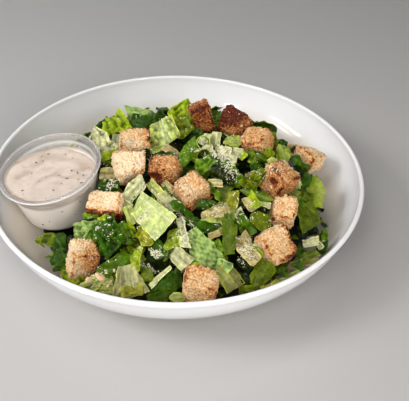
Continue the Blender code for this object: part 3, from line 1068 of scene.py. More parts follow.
def paint_leaf(piece, flat, aside, near_rib, relief, blade, rib_colour, traits, seed):
    """Map the piece in metres from its midrib, and colour it from rib to edge, with painted shade in the hollows
    of its relief and painted light on its blisters.
    """
    mesh = piece.data
    small, veins = relief
    corner = np.empty(len(mesh.loops), int)
    mesh.loops.foreach_get("vertex_index", corner)
    layer = mesh.uv_layers[0]
    layer.name = "leaf_map"
    across = np.stack([aside, flat[:, 1] + seed * 40.0], axis=1) * MM
    layer.data.foreach_set("uv", across[corner].ravel())
    reach = np.maximum(traits["rib"][1] * 1.6, 1.5)
    strength = np.interp(traits["rib"][0], (0.6, 0.9, 1.4), (0.1, 0.5, 0.9))
    paler = np.exp(-((np.abs(aside) / reach) ** 1.5)) * strength
    mottle = 0.5 + 0.5 * rough(flat, 7.0, seed * 2.3)
    paler = np.clip(paler + 0.25 * (mottle - 0.6), 0, 1)[:, None]
    colours = np.array(blade)[None] * (1 - paler) + np.array(rib_colour)[None] * paler
    # painted shade in the hollows of the relief and painted light on the blisters' tops
    painted_relief_shade = np.clip(0.5 + small / 1.6, 0, 1)
    depth = 1.25 * (1 - 0.5 * traits["veins"])
    tone = (0.7 + 0.6 * mottle) * (0.975 + depth * (painted_relief_shade - 0.5)) * (1 + 0.7 * on_cut_edge(mesh))
    colours[:, :3] *= tone[:, None]
    colours[:, 3] = 1
    painted = mesh.color_attributes.new("leaf_colour", "FLOAT_COLOR", "POINT")
    painted.data.foreach_set("color", colours.ravel())
    kinds = np.tile([traits["veins"], traits["gloss"], 0.0, 1.0], (len(flat), 1))
    kinds[:, 0] *= veins
    kinds[:, 2] = near_rib * smooth_step(traits["rib"][0], 0.5, 1.5)
    marks = mesh.color_attributes.new("leaf_marks", "FLOAT_COLOR", "POINT")
    marks.data.foreach_set("color", kinds.ravel())


# %% Keep leaves in the bowl and out of the cup
WALL_GAP = 1.3 * MM
CUP_GAP = 0.8 * MM


def wall_radius(height):
    """The bowl's inner radius at a height."""
    level = np.clip((WALL_TOP - height) / INNER_CURVE + math.cos(WALL_LEAN), 0, 1)
    slope = np.minimum(np.arccos(level), WALL_LEAN)
    return BOWL_RADIUS - LIP_WIDTH - INNER_CURVE * (math.sin(WALL_LEAN) - np.sin(slope))


def tuck(piece):
    """Move points that are in the bowl's wall or in the cup to just outside them."""
    points = points_of(piece)
    lean = np.array(Vector((0, 0, 1)).rotation_difference(CUP_UP).to_matrix())
    in_cup = (points - np.array(CUP_RIM_CENTRE)) @ lean
    depth = np.clip(-in_cup[:, 2] / CUP_HEIGHT, 0, 1)
    from_axis = np.hypot(in_cup[:, 0], in_cup[:, 1]) + 0.001 * MM
    cup_wall = CUP_RADIUS + (CUP_BASE_RADIUS - CUP_RADIUS) * depth ** 0.6 + CUP_GAP
    inside_cup = (from_axis < cup_wall) & (in_cup[:, 2] > -CUP_HEIGHT - CUP_GAP)
    in_cup[:, :2] *= np.where(inside_cup, cup_wall / from_axis, 1)[:, None]
    points = in_cup @ lean.T + np.array(CUP_RIM_CENTRE)
    out = np.hypot(points[:, 0], points[:, 1])
    most = np.where(points[:, 2] > WALL_TOP + 4 * MM, out, wall_radius(points[:, 2]) - WALL_GAP)
    points[:, :2] *= np.minimum(1, most / out)[:, None]
    out = np.hypot(points[:, 0], points[:, 1])
    points[:, 2] = np.maximum(points[:, 2], bowl_floor(out) + WALL_GAP)
    set_points(piece, points)
    return piece


# %% Set a piece of leaf on the heap
FACINGS = {                         # which way the piece's upper side looks
    "up": (0, -0.15, 1),
    "front": (0, -0.45, 0.9),
    "steep": (0.05, -0.75, 0.66),
    "upright": (0, -0.95, 0.3),
    "left": (-0.45, -0.4, 0.8),
    "left_steep": (-0.5, -0.5, 0.7),
    "right": (0.3, -0.6, 0.7),
    "right_steep": (0.5, -0.6, 0.6),
    "back": (0, 0.3, 0.95),
    "end_on": (0, 0.65, 0.76),
}


def lay(piece, centre, facing, heading):
    """Turn a piece so that its upper side looks along facing and its length runs to heading."""
    up = Vector(facing).normalized()
    way = math.radians(heading)
    run = Vector((math.cos(way), math.sin(way), 0))
    run.z = -(up.x * run.x + up.y * run.y) / up.z
    run.normalize()
    side = run.cross(up)
    turned = Matrix((side, run, up)).transposed().to_4x4()
    piece.data.transform(Matrix.Translation(centre) @ turned)
    piece.data.update()
    return piece


# %% [markdown]
# The pieces that show most are set one by one. Each line of the list is one piece: its kind, its
# middle in mm, which way it faces, its heading in degrees, its length and width in mm, its colour,
# its rib's colour, and what sets it apart from its kind.

# %% The leaves that show
LEAVES = [
    # the back edge
    ("blade", (-28, 54, 51), "steep", -10, (21, 17), "grey_green_and_sheen", "grey_green_and_sheen",
     dict(ends=(16, 45), cuts=0, blister=0.5, gloss=0.9, fold=0.25, rib_at=-0.2)),
    ("blade", (-26, 42, 56), "right", 5, (16, 10), "dark", "green", dict(blister=0.5)),
    ("blade", (-45, 47, 52), "left_steep", -65, (22, 17), "yellow_green", "lime",
     dict(ends=(0, 15), pleat=(2.0, 7.0, 10), fold=0.5, ragged=0.5)),
    ("blade", (-57, 65, 37), "steep", 15, (11, 8), "dark", "mid", dict(taper=0.5)),
    ("rib", (-10, 23, 61), "left_steep", -75, (21, 21), "pale", "pale_lime",
     dict(ends=(-8, 8), cup=-20, pleat=(0.7, 5.0, 20))),
    ("blade", (3, 57, 54), "steep", -60, (14, 18), "yellow_green", "lime",
     dict(ends=(15, 0), pleat=(1.4, 4.5, 80))),
    ("blade", (3, 28, 61), "left_steep", -65, (17, 13), "olive", "pale",
     dict(blister=1.0, pleat=(1.0, 4.0, 60))),
    ("blade", (10, 43, 57), "right", -85, (17, 6), "olive", "yellow_green", {}),
    ("blade", (67, 24, 50), "right", 65, (18, 11), "olive", "yellow_green",
     dict(taper=-0.75, ends=(0, 20), blister=0.5)),
    ("rib", (86, 34, 37), "steep", -10, (9, 7), "beige", "beige", {}),
    # beside and behind the cup
    ("rib", (-53, 19, 53), "steep", -35, (22, 13), "ivory", "ivory",
     dict(ends=(0, 25), ragged=1.8, ridge=0.3, blister=1.8, rib=(1.2, 3.0))),
    ("frilly", (-47, 0, 57), "steep", 15, (12, 6), "yellow_green", "pale", {}),
    ("blade", (-47, -0, 53), "steep", 10, (11, 6), "olive", "yellow_green", dict(blister=0.4)),
    ("rib", (-47, -15, 51), "steep", 0, (13, 10), "beige", "straw", dict(cup=25, round=0.5)),
    ("blade", (-46, -25, 50), "steep", 5, (14, 8), "dark", "mid", dict(blister=1.0)),
    ("rib", (-42, 19, 53), "left_steep", -90, (15, 10), "ivory", "ivory", dict(ends=(10, 0))),
    ("blade", (-46, 24, 50), "right", -60, (14, 4), "deep", "dark", {}),
    # round the first croutons
    ("frilly", (-19, -3, 58), "front", -20, (11, 10), "deep", "green", {}),
    ("blade", (-8, -5, 60), "front", -15, (10, 5), "dark", "mid", dict(lens=0.6)),
    ("rib", (-4, -2, 60), "steep", -25, (14, 6), "straw", "beige", {}),
    ("rib", (-13, 3, 59), "front", -160, (10, 4), "olive", "lime", {}),
    ("blade", (8, -1, 63), "front", -110, (29, 11), "mid", "grey_green_and_sheen",
     dict(lens=0.75, bend=45, cup=35, blister=0.5, veins=0.2)),
    ("frilly", (16, 22, 60), "front", -35, (9, 5), "dark", "green", {}),
    ("rib", (20, 15, 59), "left_steep", -115, (10, 8), "ivory", "ivory", dict(ragged=1.3)),
    ("rib", (27, 16, 58), "steep", -105, (11, 7), "lime", "ivory", {}),
    ("rib", (22, -4, 62), "left_steep", -75, (10, 7), "ivory", "ivory", dict(ragged=1.3)),
    ("rib", (29, -2, 61), "left", -45, (9, 7), "pale", "ivory", {}),
    ("rib", (40, 16, 57), "front", 5, (14, 11), "yellow_green", "pale",
     dict(round=1.4, cup=40, rib=(1.2, 5.0), rib_at=0.0)),
    ("rib", (33, -2, 61), "left", -40, (10, 6), "ivory", "ivory", dict(ragged=1.3)),
    ("rib", (42, -0, 58), "left_steep", -35, (10, 6), "ivory", "ivory", {}),
    ("rib", (35, -10, 60), "front", -15, (11, 6), "pale", "ivory", dict(ragged=1.3)),
    ("blade", (45, -5, 59), "left", 30, (7, 5), "lime", "pale", {}),
    # a leaf rolled up, seen from its end, and another behind it
    ("blade", (18, 7, 67), "end_on", -90, (8, 24), "lime", "lime",
     dict(bend=0, cup=290, cuts=0, round=0, blister=0.1, fold=0, twist=0, crease=0, frill=0, ragged=0.3)),
    ("blade", (17, -4, 64), "end_on", -80, (8, 18), "olive", "lime",
     dict(bend=0, cup=250, cuts=0, round=0, blister=0.2, fold=0, twist=0, crease=0, frill=0.2)),
    # the middle, from the top croutons to the right
    ("blade", (26, -16, 61), "front", -30, (14, 8), "dark", "green", dict(blister=0.9)),
    ("blade", (31, -27, 59), "steep", -15, (20, 9), "deep", "green", dict(gloss=1.0, blister=0.5)),
    ("blade", (18, -17, 61), "left", 15, (15, 11), "mid", "grey_green_and_sheen",
     dict(bend=30, veins=0.4, rib_at=0.8)),
    ("rib", (25, -34, 58), "front", 0, (9, 5), "straw", "straw", {}),
    ("blade", (37, -25, 58), "left", -60, (19, 9), "green", "mid", dict(blister=1.2)),
    ("blade", (55, -1, 56), "steep", -15, (17, 7), "dark", "lime",
     dict(lens=0.5, gloss=1.0, rib=(0.8, 0.7))),
    ("blade", (56, -3, 55), "right", 25, (17, 6), "green", "lime", dict(lens=0.6, rib=(0.8, 0.7))),
    ("blade", (55, -11, 54), "front", 10, (10, 5), "dark", "green", {}),
    ("blade", (65, 4, 53), "right", -75, (12, 9), "yellow_green", "lime", dict(round=1.2, blister=0.3)),
    ("rib", (75, 9, 51), "steep", -55, (15, 11), "olive", "yellow_green",
     dict(round=1.5, rib=(1.0, 4.0), cup=30)),
    ("rib", (65, -9, 55), "left", 15, (9, 11), "pale", "pale", dict(round=1.5, rib=(1.4, 5.0))),
    ("rib", (50, -22, 55), "front", 10, (11, 6), "straw", "beige", dict(ragged=1.3)),
    ("blade", (52, -27, 55), "right", 45, (19, 9), "olive", "olive", dict(taper=-0.6, ends=(0, 10))),
    ("blade", (88, 5, 45), "steep", -25, (18, 6), "dark", "mid", dict(frill=1.6, gloss=1.0, cup=80)),
    ("blade", (89, -13, 43), "right", -115, (17, 7), "dark", "mid", dict(frill=1.4, gloss=1.0, cup=90)),
    ("blade", (88, 2, 41), "front", -55, (12, 6), "deep", "green", {}),
    ("rib", (83, -12, 43), "left_steep", -75, (14, 6), "pale", "ivory", dict(round=1.0)),
    ("blade", (95, -18, 39), "left", -85, (26, 14), "lime", "pale",
     dict(round=1.5, ends=(20, 0), cuts=0, blister=0.1, ragged=0.4, veins=0.1, rib=(1.0, 2.0), rib_at=-0.6)),
    ("rib", (77, -38, 45), "left_steep", -70, (9, 5), "lime", "pale", dict(round=1.2)),
    ("blade", (82, -37, 43), "steep", -60, (9, 5), "green", "lime", dict(round=1.0)),
    ("blade", (87, -28, 41), "steep", -15, (10, 8), "dim", "grey_green_and_sheen", dict(blister=0.9)),
    ("blade", (87, -47, 40), "right", -60, (17, 16), "dim", "green",
     dict(ends=(-8, 8), cuts=0, round=0.05, blister=0.5, bend=10, cup=12, ragged=0.2, veins=0.15)),
    ("blade", (97, -45, 32), "steep", -40, (10, 3), "deep", "deep", {}),
    ("frilly", (95, -60, 28), "left_steep", -105, (18, 8), "bright", "lime", dict(frill=1.6)),
    ("rib", (86, -65, 33), "left_steep", -15, (11, 5), "straw", "ivory", dict(ends=(10, 0))),
    ("rib", (92, -64, 30), "left", -65, (6, 3), "ivory", "ivory", {}),
    ("blade", (79, -72, 30), "steep", -10, (15, 7), "dark", "green", dict(blister=1.0)),
    ("blade", (83, -74, 29), "steep", 20, (17, 5), "olive", "green", dict(lens=0.6, blister=0.8)),
    ("rib", (86, -72, 29), "front", 0, (12, 3), "pale", "pale", {}),
    ("rib", (80, -77, 26), "front", 10, (21, 5), "olive_yellow", "beige", {}),
    ("blade", (77, -81, 27), "steep", -50, (7, 4), "green", "mid", dict(taper=-0.6)),
    # the middle
    ("blade", (52, -42, 54), "steep", -10, (23, 6), "bright", "lime",
     dict(lens=0.8, cuts=0, bend=30, cup=30, blister=0.2, rib=(0.9, 0.9))),
    ("frilly", (49, -47, 53), "left_steep", -65, (10, 6), "yellow_green", "lime", {}),
    ("blade", (35, -47, 56), "left_steep", -95, (13, 9), "yellow", "pale",
     dict(round=0.9, ends=(20, 0), blister=0.6)),
    ("rib", (46, -49, 52), "front", -60, (10, 5), "straw", "beige", dict(ragged=1.3)),
    ("rib", (40, -58, 50), "left", -70, (11, 5), "straw", "ivory", dict(ragged=1.3)),
    ("rib", (57, -45, 49), "front", -15, (9, 4), "pale", "ivory", dict(ragged=1.3)),
    ("blade", (53, -60, 47), "steep", -20, (14, 10), "olive", "lime", dict(round=1.0, blister=0.4)),
    ("blade", (43, -65, 48), "left_steep", -60, (16, 9), "green", "mid", dict(blister=1.3)),
    ("rib", (24, -59, 54), "front", 20, (19, 9), "straw", "beige", dict(round=0.7, cup=20, ends=(0, -10))),
    ("rib", (23, -65, 52), "steep", 5, (17, 3), "yellow", "yellow_green", {}),
    ("blade", (18, -55, 57), "front", 10, (14, 6), "dark", "green",
     dict(lens=0.9, cuts=0, gloss=0.8, cup=60)),
    ("blade", (24, -44, 57), "left_steep", -55, (20, 4), "green", "lime",
     dict(cup=70, cuts=0, rib=(0.9, 0.9), rib_at=0.8)),
    ("blade", (31, -60, 53), "steep", -60, (18, 4), "green", "mid", dict(cup=70, cuts=0)),
    ("blade", (-2, -65, 54), "steep", -30, (20, 4), "green", "mid", dict(cup=60)),
    ("blade", (5, -59, 54), "right", -20, (22, 3), "dark", "green", dict(cup=60)),
    ("blade", (10, -66, 52), "front", -25, (11, 7), "dark", "grey_green_and_sheen", dict(gloss=1.0)),
    ("rib", (-14, -40, 58), "left_steep", -55, (16, 7), "beige", "pale", dict(ragged=1.3)),
    ("rib", (-6, -38, 58), "steep", -30, (10, 5), "straw", "beige", {}),
    ("rib", (-6, -50, 56), "front", -45, (16, 9), "straw", "ivory", dict(ragged=1.4)),
    ("blade", (-5, -47, 60), "steep", -35, (12, 2), "green", "mid", dict(cuts=0)),
    ("rib", (-28, -39, 56), "left", -150, (18, 12), "ivory", "ivory", dict(ends=(20, -20), ragged=1.0)),
    ("rib", (-33, -48, 52), "left", -50, (10, 5), "pale", "ivory", {}),
    ("blade", (-27, -46, 53), "right", -110, (10, 4), "dark", "mid", {}),
    ("blade", (-16, -64, 56), "left_steep", -50, (30, 17), "pale_lime", "ivory",
     dict(ends=(0, 0), cuts=0, round=0.08, bend=18, cup=24, blister=0.5, veins=1.0, rib=(0.9, 1.6),
          pleat=(0.5, 5.0, 70), rib_at=-0.5, ragged=0.3)),
    ("rib", (-30, -58, 51), "steep", -60, (12, 6), "pale", "pale", {}),
    # left front
    ("frilly", (-23, -74, 49), "left_steep", -65, (17, 8), "yellow", "olive_yellow", dict(frill=1.4)),
    ("blade", (-30, -68, 47), "steep", -45, (11, 7), "yellow_green", "lime", dict(blister=1.1)),
    ("blade", (-42, -71, 47), "left_steep", -65, (21, 17), "dark", "green",
     dict(gloss=1.0, blister=1.9, cuts=1, ends=(-15, 0))),
    ("blade", (-33, -72, 48), "steep", -55, (14, 7), "green", "mid",
     dict(gloss=1.0, blister=1.4, ends=(20, 0))),
    ("blade", (-46, -61, 51), "left_steep", 15, (7, 6), "yellow_green", "lime", dict(taper=-0.6)),
    ("blade", (-60, -61, 42), "left_steep", -15, (23, 12), "grey_green_and_sheen", "pale",
     dict(gloss=1.0, veins=0.5, blister=1.3)),
    ("blade", (-53, -68, 43), "steep", 35, (13, 8), "green", "lime",
     dict(rib=(0.9, 0.8), gloss=1.0, lens=0.4)),
    ("blade", (-52, -69, 41), "right", -65, (15, 5), "dark", "green", {}),
    ("blade", (-55, -51, 46), "left_steep", -20, (13, 5), "mid", "lime", {}),
    ("blade", (-83, -57, 30), "steep", -5, (11, 8), "dim", "yellow_green", dict(blister=1.0)),
    ("blade", (-91, -55, 27), "left_steep", -60, (12, 4), "olive", "yellow_green",
     dict(taper=-0.8, cup=70)),
    ("blade", (-75, -67, 31), "left", -90, (22, 10), "dark", "mid", dict(gloss=0.8, frill=1.2)),
    ("blade", (-70, -67, 34), "front", -95, (10, 6), "deep", "green", {}),
    ("blade", (-81, -68, 26), "front", -170, (11, 3), "mid", "pale", dict(taper=-0.8, cuts=0)),
    ("blade", (-74, -77, 25), "front", -150, (11, 7), "green", "mid", dict(taper=-0.8, cuts=0)),
    ("blade", (-65, -88, 24), "front", -25, (20, 6), "yellow_green", "lime", dict(cuts=1)),
    ("blade", (-39, -89, 36), "steep", 20, (22, 10), "green", "mid",
     dict(round=0.7, cuts=1, blister=0.7, gloss=0.8, veins=0.1)),
    ("blade", (-26, -89, 41), "left_steep", -105, (18, 7), "yellow_green", "lime",
     dict(blister=0.8, ends=(15, 0))),
    ("rib", (-30, -99, 33), "steep", -75, (20, 17), "stone", "stone",
     dict(taper=0.55, ends=(-10, 0), cuts=0, cup=-15, rib=(1.6, 9.0))),
    ("blade", (-27, -104, 30), "front", 5, (14, 6), "olive_yellow", "pale", dict(blister=0.8)),
    ("rib", (-45, -95, 30), "steep", 5, (12, 5), "straw", "yellow_green", dict(ragged=1.3)),
    ("rib", (-45, -99, 26), "front", 0, (15, 6), "olive_yellow", "pale", dict(ragged=1.3)),
    ("blade", (-19, -95, 35), "left_steep", -45, (11, 9), "olive", "lime", dict(round=1.4, blister=0.4)),
    ("rib", (-11, -99, 37), "left_steep", 15, (19, 3), "lime", "ivory", {}),
    ("blade", (-7, -102, 33), "steep", 20, (27, 11), "dark", "green",
     dict(gloss=0.9, blister=0.6, bend=45, veins=0.1, cuts=1)),
    ("blade", (-10, -108, 29), "upright", 5, (20, 7), "green", "mid", dict(gloss=0.8, blister=0.3)),
    ("rib", (-0, -109, 29), "steep", 5, (10, 6), "olive_yellow", "pale", dict(round=1.0)),
    ("blade", (-13, -81, 44), "front", -50, (17, 9), "dark", "green", dict(blister=1.1)),
    # front and right front
    ("blade", (-3, -77, 49), "left_steep", -95, (13, 11), "lime", "pale",
     dict(ends=(-20, 10), cuts=0, blister=0.8, ragged=0.5)),
    ("rib", (3, -75, 51), "left_steep", -80, (20, 6), "ivory", "ivory", dict(ragged=1.4)),
    ("rib", (1, -89, 43), "left_steep", -50, (15, 10), "stone", "ivory",
     dict(ends=(10, 0), cuts=1, cup=-15, rib=(1.4, 5.0))),
    ("blade", (9, -93, 39), "left_steep", -20, (12, 4), "lime", "yellow", {}),
    ("blade", (15, -85, 45), "steep", -50, (31, 17), "grey_green_and_sheen", "grey_green_and_sheen",
     dict(taper=0.55, ends=(-12, 0), cuts=0, gloss=0.5, veins=0.4, blister=1.0, bend=25, cup=20,
          pleat=(0.8, 3.2, 40), rib=(0.9, 0.9), rib_at=0.35)),
    ("rib", (31, -99, 36), "right", -40, (17, 12), "olive", "olive_yellow",
     dict(ends=(10, 0), cuts=0, cup=-30, rib=(2.0, 7.0))),
    ("blade", (29, -93, 40), "left_steep", -40, (11, 5), "grey_green_and_sheen", "pale", dict(pleat=(0.6, 2.6, 0))),
    ("blade", (20, -69, 50), "front", 5, (16, 7), "dark", "green", dict(blister=0.9)),
    ("rib", (24, -74, 49), "right", 30, (11, 4), "beige", "beige", dict(ragged=1.3)),
    ("blade", (25, -80, 44), "left_steep", -70, (11, 5), "mid", "lime", {}),
    ("blade", (32, -77, 47), "steep", 85, (22, 8), "dim", "mid",
     dict(taper=0.35, cuts=1, ends=(20, 0), blister=0.3, bend=15)),
    ("rib", (43, -83, 42), "left", -55, (23, 8), "straw", "beige", dict(ragged=1.4)),
    ("blade", (48, -82, 43), "left_steep", -55, (15, 4), "yellow_green", "yellow",
     dict(pleat=(0.5, 2.4, 0))),
    ("rib", (43, -75, 45), "right", -25, (9, 6), "beige", "beige", dict(taper=-0.5)),
    ("blade", (41, -88, 37), "front", -30, (12, 7), "deep", "green", dict(blister=1.0)),
    ("blade", (52, -93, 33), "steep", 40, (18, 12), "olive", "mid",
     dict(gloss=1.0, round=0.45, cuts=1, blister=0.5, bend=45, cup=-15)),
    ("blade", (41, -96, 32), "right", -35, (10, 6), "deep", "green", dict(blister=1.0)),
    ("blade", (66, -88, 29), "left_steep", -55, (9, 6), "green", "lime", dict(round=1.4)),
    ("rib", (69, -89, 25), "front", 25, (20, 3), "yellow", "pale", {}),
    ("blade", (45, -101, 27), "steep", 5, (16, 6), "olive", "dim", dict(blister=0.9)),
    ("blade", (56, -102, 30), "front", 20, (12, 4), "olive_yellow", "olive", {}),
    ("rib", (-54, -98, 29), "steep", 20, (15, 8), "straw", "yellow_green", dict(ragged=1.3)),
]

kept = {"dark": [], "green": [], "light": [], "rib": []}
for seed, (kind, centre, facing, heading, size, blade, rib, changes) in enumerate(LEAVES, start=1):
    piece = cut_leaf(kind, *size, PALETTE[blade], PALETTE[rib], seed, **changes)
    tuck(lay(piece, Vector(centre) * MM, FACINGS[facing], heading))
    if kind == "rib":
        group = "rib"
    elif blade in ("dark", "deep", "dim"):
        group = "dark"
    else:
        group = "green" if blade in ("green", "mid", "grey_green_and_sheen", "bright", "olive") else "light"
    kept[group].append(piece)
print("leaves set one by one:", len(LEAVES))

# %% [markdown]
# Most of the heap lies under those. A dozen cut pieces are made once, and seeded chance lays
# copies of them over the whole dome, deeper down. At the back, where nothing was set one by one, they
# reach the surface.

# %% Strew the rest
BED_CELL = 1.5                      # mm
BED_SPACING = 10 * MM
CUP_CLEAR = 37 * MM

# the buried copies are mostly deep and dark greens, painted shade for the heap's depths; those at the back, which
# reach the surface, are lighter
BED_KINDS = [
    ("blade", (24, 16), "deep", "green"),
    ("blade", (20, 16), "deep", "dark"),
    ("blade", (22, 12), "dark", "green"),
    ("frilly", (24, 18), "dark", "mid"),
    ("blade", (18, 14), "deep", "dark"),
    ("rib", (20, 10), "olive", "yellow_green"),
    ("blade", (18, 14), "olive", "lime"),
    ("rib", (16, 11), "yellow_green", "pale"),
    ("frilly", (22, 16), "deep", "dark"),
    ("blade", (22, 14), "dim", "olive"),
    ("blade", (26, 9), "deep", "green"),
    ("blade", (16, 12), "deep", "green"),
]
BACK_KINDS = [
    ("blade", (24, 16), "green", "mid"),
    ("blade", (22, 15), "mid", "grey_green_and_sheen"),
    ("frilly", (22, 16), "yellow_green", "lime"),
    ("blade", (20, 16), "dark", "green"),
    ("rib", (18, 12), "pale", "ivory"),
    ("frilly", (24, 16), "green", "lime"),
    ("blade", (22, 13), "dark", "mid"),
]


def cut_kinds(rows, first_seed):
    """One piece for each row of kind, size and colours."""
    return [
        cut_leaf(kind, *size, PALETTE[blade], PALETTE[rib], first_seed + seed, cell=BED_CELL)
        for seed, (kind, size, blade, rib) in enumerate(rows)
    ]


bed_kinds = cut_kinds(BED_KINDS, 200)
back_kinds = cut_kinds(BACK_KINDS, 230)


def copy_of(piece):
    """A copy with its own mesh."""
    made = piece.copy()
    made.data = piece.data.copy()
    bpy.context.scene.collection.objects.link(made)
    return made


def bed_places(chance):
    """Places over the dome, about one spacing apart and clear of the cup."""
    found = []
    for _ in range(4000):
        way, out = chance.uniform(0, math.tau), 97 * MM * math.sqrt(chance.random())
        place = Vector((out * math.cos(way), out * math.sin(way)))
        from_cup = (place - CUP_RIM_CENTRE.xy).length
        in_corner = place.x < -70 * MM and place.y < -25 * MM
        apart = all((place - other).length > BED_SPACING for other in found)
        if from_cup > CUP_CLEAR and not in_corner and apart:
            found.append(place)
    return found


chance = random.Random(8)
bed = []
for place in bed_places(chance):
    at_back = smooth_step(place.y, 20 * MM, 60 * MM)
    depth = (8 - 6 * at_back) * MM
    near_crouton = any((place - c.xy).length < reach + 6 * MM for c, reach in crouton_centres)
    if near_crouton:
        depth += 6 * MM
    height = float(heap_height(place.x, place.y)) - depth
    height = max(height, float(bowl_floor(place.length)) + 6 * MM)
    tilt = Vector((chance.gauss(0, 0.45), chance.gauss(0, 0.45), 0))
    piece = copy_of(chance.choice(back_kinds if at_back > 0.6 else bed_kinds))
    up = heap_slope(place.x, place.y) + tilt
    tuck(lay(piece, (place.x, place.y, height), up, chance.uniform(0, 360)))
    bed.append(piece)
for piece in bed_kinds + back_kinds:
    bpy.data.objects.remove(piece)
print("leaves strewn below:", len(bed))

# %% [markdown]
# ## The core of the heap
# Under the leaves a plain lumpy core shuts off the view to the bowl. It is a sphere's surface
# carried to the dome, and it dips under the cup. Its colour is an almost black green, painted shade
# for the gaps between the leaves.

# %% Shape the core
CORE_DEPTH = 13 * MM
CORE_REACH = 97 * MM
CORE_EDGE = 0.4 * MM                # how thick it still is where it runs out

let_go()
bpy.ops.mesh.primitive_uv_sphere_add(segments=96, ring_count=48, radius=1)
core = bpy.context.object
core.name = "heap_core"
points = points_of(core)
x, y = points[:, 0] * CORE_REACH, points[:, 1] * CORE_REACH
out = np.hypot(x, y)
floor_z = bowl_floor(out) + 1 * MM
lumps = 3 * MM * rough(np.stack([x, y, 0 * x], axis=1), 12 * MM)
thin = floor_z + CORE_EDGE
top = np.maximum(heap_height(x, y) - CORE_DEPTH + lumps, thin)
from_cup = np.hypot(x - CUP_RIM_CENTRE.x, y - CUP_RIM_CENTRE.y)
under_cup = 1 - smooth_step(from_cup, 30 * MM, 44 * MM)
top = top * (1 - under_cup) + np.minimum(top, thin) * under_cup
set_points(core, np.stack([x, y, np.where(points[:, 2] < 0, floor_z, top)], axis=1))

# %% [markdown]
# ## What leaves look like
# A wet leaf has three things going on: its own colour with paler veins, a net of tiny cells that
# breaks up the shine, and patches that are wetter than others. The colour comes from the piece, and
# the pattern from the leaf map. Fine wrinkles also break up the shine, and their creases are painted
# darker as shade.

# %% Leaf and core materials
def leaf_look(name, mapped):
    """Damp leaf. The core has no leaf map or colours, and takes an almost black green by place, painted shade for
    the gaps in the heap.
    """
    look, tree, shader = new_look(name, 0.35, Specular_IOR_Level=0.25, Subsurface_Weight=0.2,
                                  Subsurface_Radius=(0.5, 1.0, 0.15), Subsurface_Scale=1.5 * MM)
    places = object_places(tree)
    patch = place_group(tree, grain_group, places, Scale=210.0).outputs["Grain"]
    if not mapped:
        # the core's almost black green is painted shade
        tree.links.new(blend(tree, patch, shade(6, 10, 2), shade(20, 30, 8)), shader.inputs["Base Color"])
        tree.links.new(maths(tree, "MULTIPLY_ADD", patch, 0.3, 0.3), shader.inputs["Roughness"])
        return look
    own_map = node(tree, "ShaderNodeUVMap", uv_map="leaf_map").outputs["UV"]
    pattern = place_group(tree, cells_group, own_map)
    marks = node(tree, "ShaderNodeSeparateColor")
    tree.links.new(attribute(tree, "leaf_marks"), marks.inputs["Color"])
    own = attribute(tree, "leaf_colour")
    shown = marks.outputs["Red"]
    lighter = blend(tree, 1.0, own, shade(255, 255, 120), "SCREEN")
    lighter = blend(tree, maths(tree, "POWER", shown, 2.0), blend(tree, 0.25, own, lighter), shade(236, 240, 204))
    veined = blend(tree, maths(tree, "MULTIPLY", shown, 0.85), own, lighter)
    string = maths(tree, "MULTIPLY_ADD", pattern.outputs["Fibres"], 3.2, -1.1)
    string = maths(tree, "MINIMUM", maths(tree, "MAXIMUM", string, 0.0), 1.0)
    dark_string = maths(tree, "MULTIPLY", maths(tree, "SUBTRACT", 1.0, string), marks.outputs["Blue"])
    string = maths(tree, "MULTIPLY", string, marks.outputs["Blue"])
    veined = blend(tree, maths(tree, "MULTIPLY", string, 0.25), veined, shade(226, 226, 190))
    veined = blend(tree, maths(tree, "MULTIPLY", dark_string, 0.28), veined, shade(104, 112, 40))
    wrinkle = place_group(tree, grain_group, own_map, Scale=480.0).outputs["Grain"]
    # random patches, and the wrinkle pattern of the bump, which darkens its creases as painted shade
    mottle_and_crease_shade = maths(tree, "MULTIPLY_ADD", patch, 0.9, 0.0)
    mottle_and_crease_shade = maths(tree, "MULTIPLY_ADD", wrinkle, 1.1, mottle_and_crease_shade)
    tone = node(tree, "ShaderNodeCombineColor")
    for socket in tone.inputs[:3]:
        tree.links.new(mottle_and_crease_shade, socket)
    mottled_and_shaded = blend(tree, 1.0, veined, tone.outputs["Color"], "MULTIPLY")
    tree.links.new(mottled_and_shaded, shader.inputs["Base Color"])
    wet = place_group(tree, grain_group, places, Scale=130.0).outputs["Grain"]
    dull = maths(tree, "MULTIPLY_ADD", marks.outputs["Green"], -0.08, 0.17)
    tree.links.new(maths(tree, "MULTIPLY_ADD", wet, 0.16, maths(tree, "SUBTRACT", dull, 0.08)),
                   shader.inputs["Roughness"])
    cells = maths(tree, "MINIMUM", pattern.outputs["Net"], 0.25)
    relief = maths(tree, "MULTIPLY_ADD", shown, -0.5, cells)
    relief = maths(tree, "MULTIPLY_ADD", wrinkle, 1.6, relief)
    bump(tree, shader, relief, 0.6 * MM, 1.0)
    return look


leaf_green = leaf_look("damp_leaf", True)
core_in_shade = leaf_look("core_in_shade", False)
hand_over(core, core_in_shade, "lettuce", "lettuce_heap", sharp=180)

# %% Join the leaves by kind
PIECE_NAMES = {
    "dark": "dark_leaves", "green": "green_leaves", "light": "pale_green_leaves", "rib": "leaf_ribs",
}
for group, name in PIECE_NAMES.items():
    leaves = thicken(joined(name, kept[group]))
    hand_over(leaves, leaf_green, "lettuce", "lettuce_heap", sharp=60)
hand_over(thicken(joined("bed_leaves", bed)), leaf_green, "lettuce", "lettuce_heap", sharp=60)

# %% [markdown]
# ## Grated cheese
# Grated hard cheese falls as short shreds and crumbs. Five shreds and crumbs are made from
# roughened cubes, and copies are dropped on the heap: a ray from above finds where each one lands.
# The list gives the heaps of cheese that show, and the rest is dust over everything. The white specks
# of the heap on the dark leaf at the left front are cheese and also painted glints on that leaf.

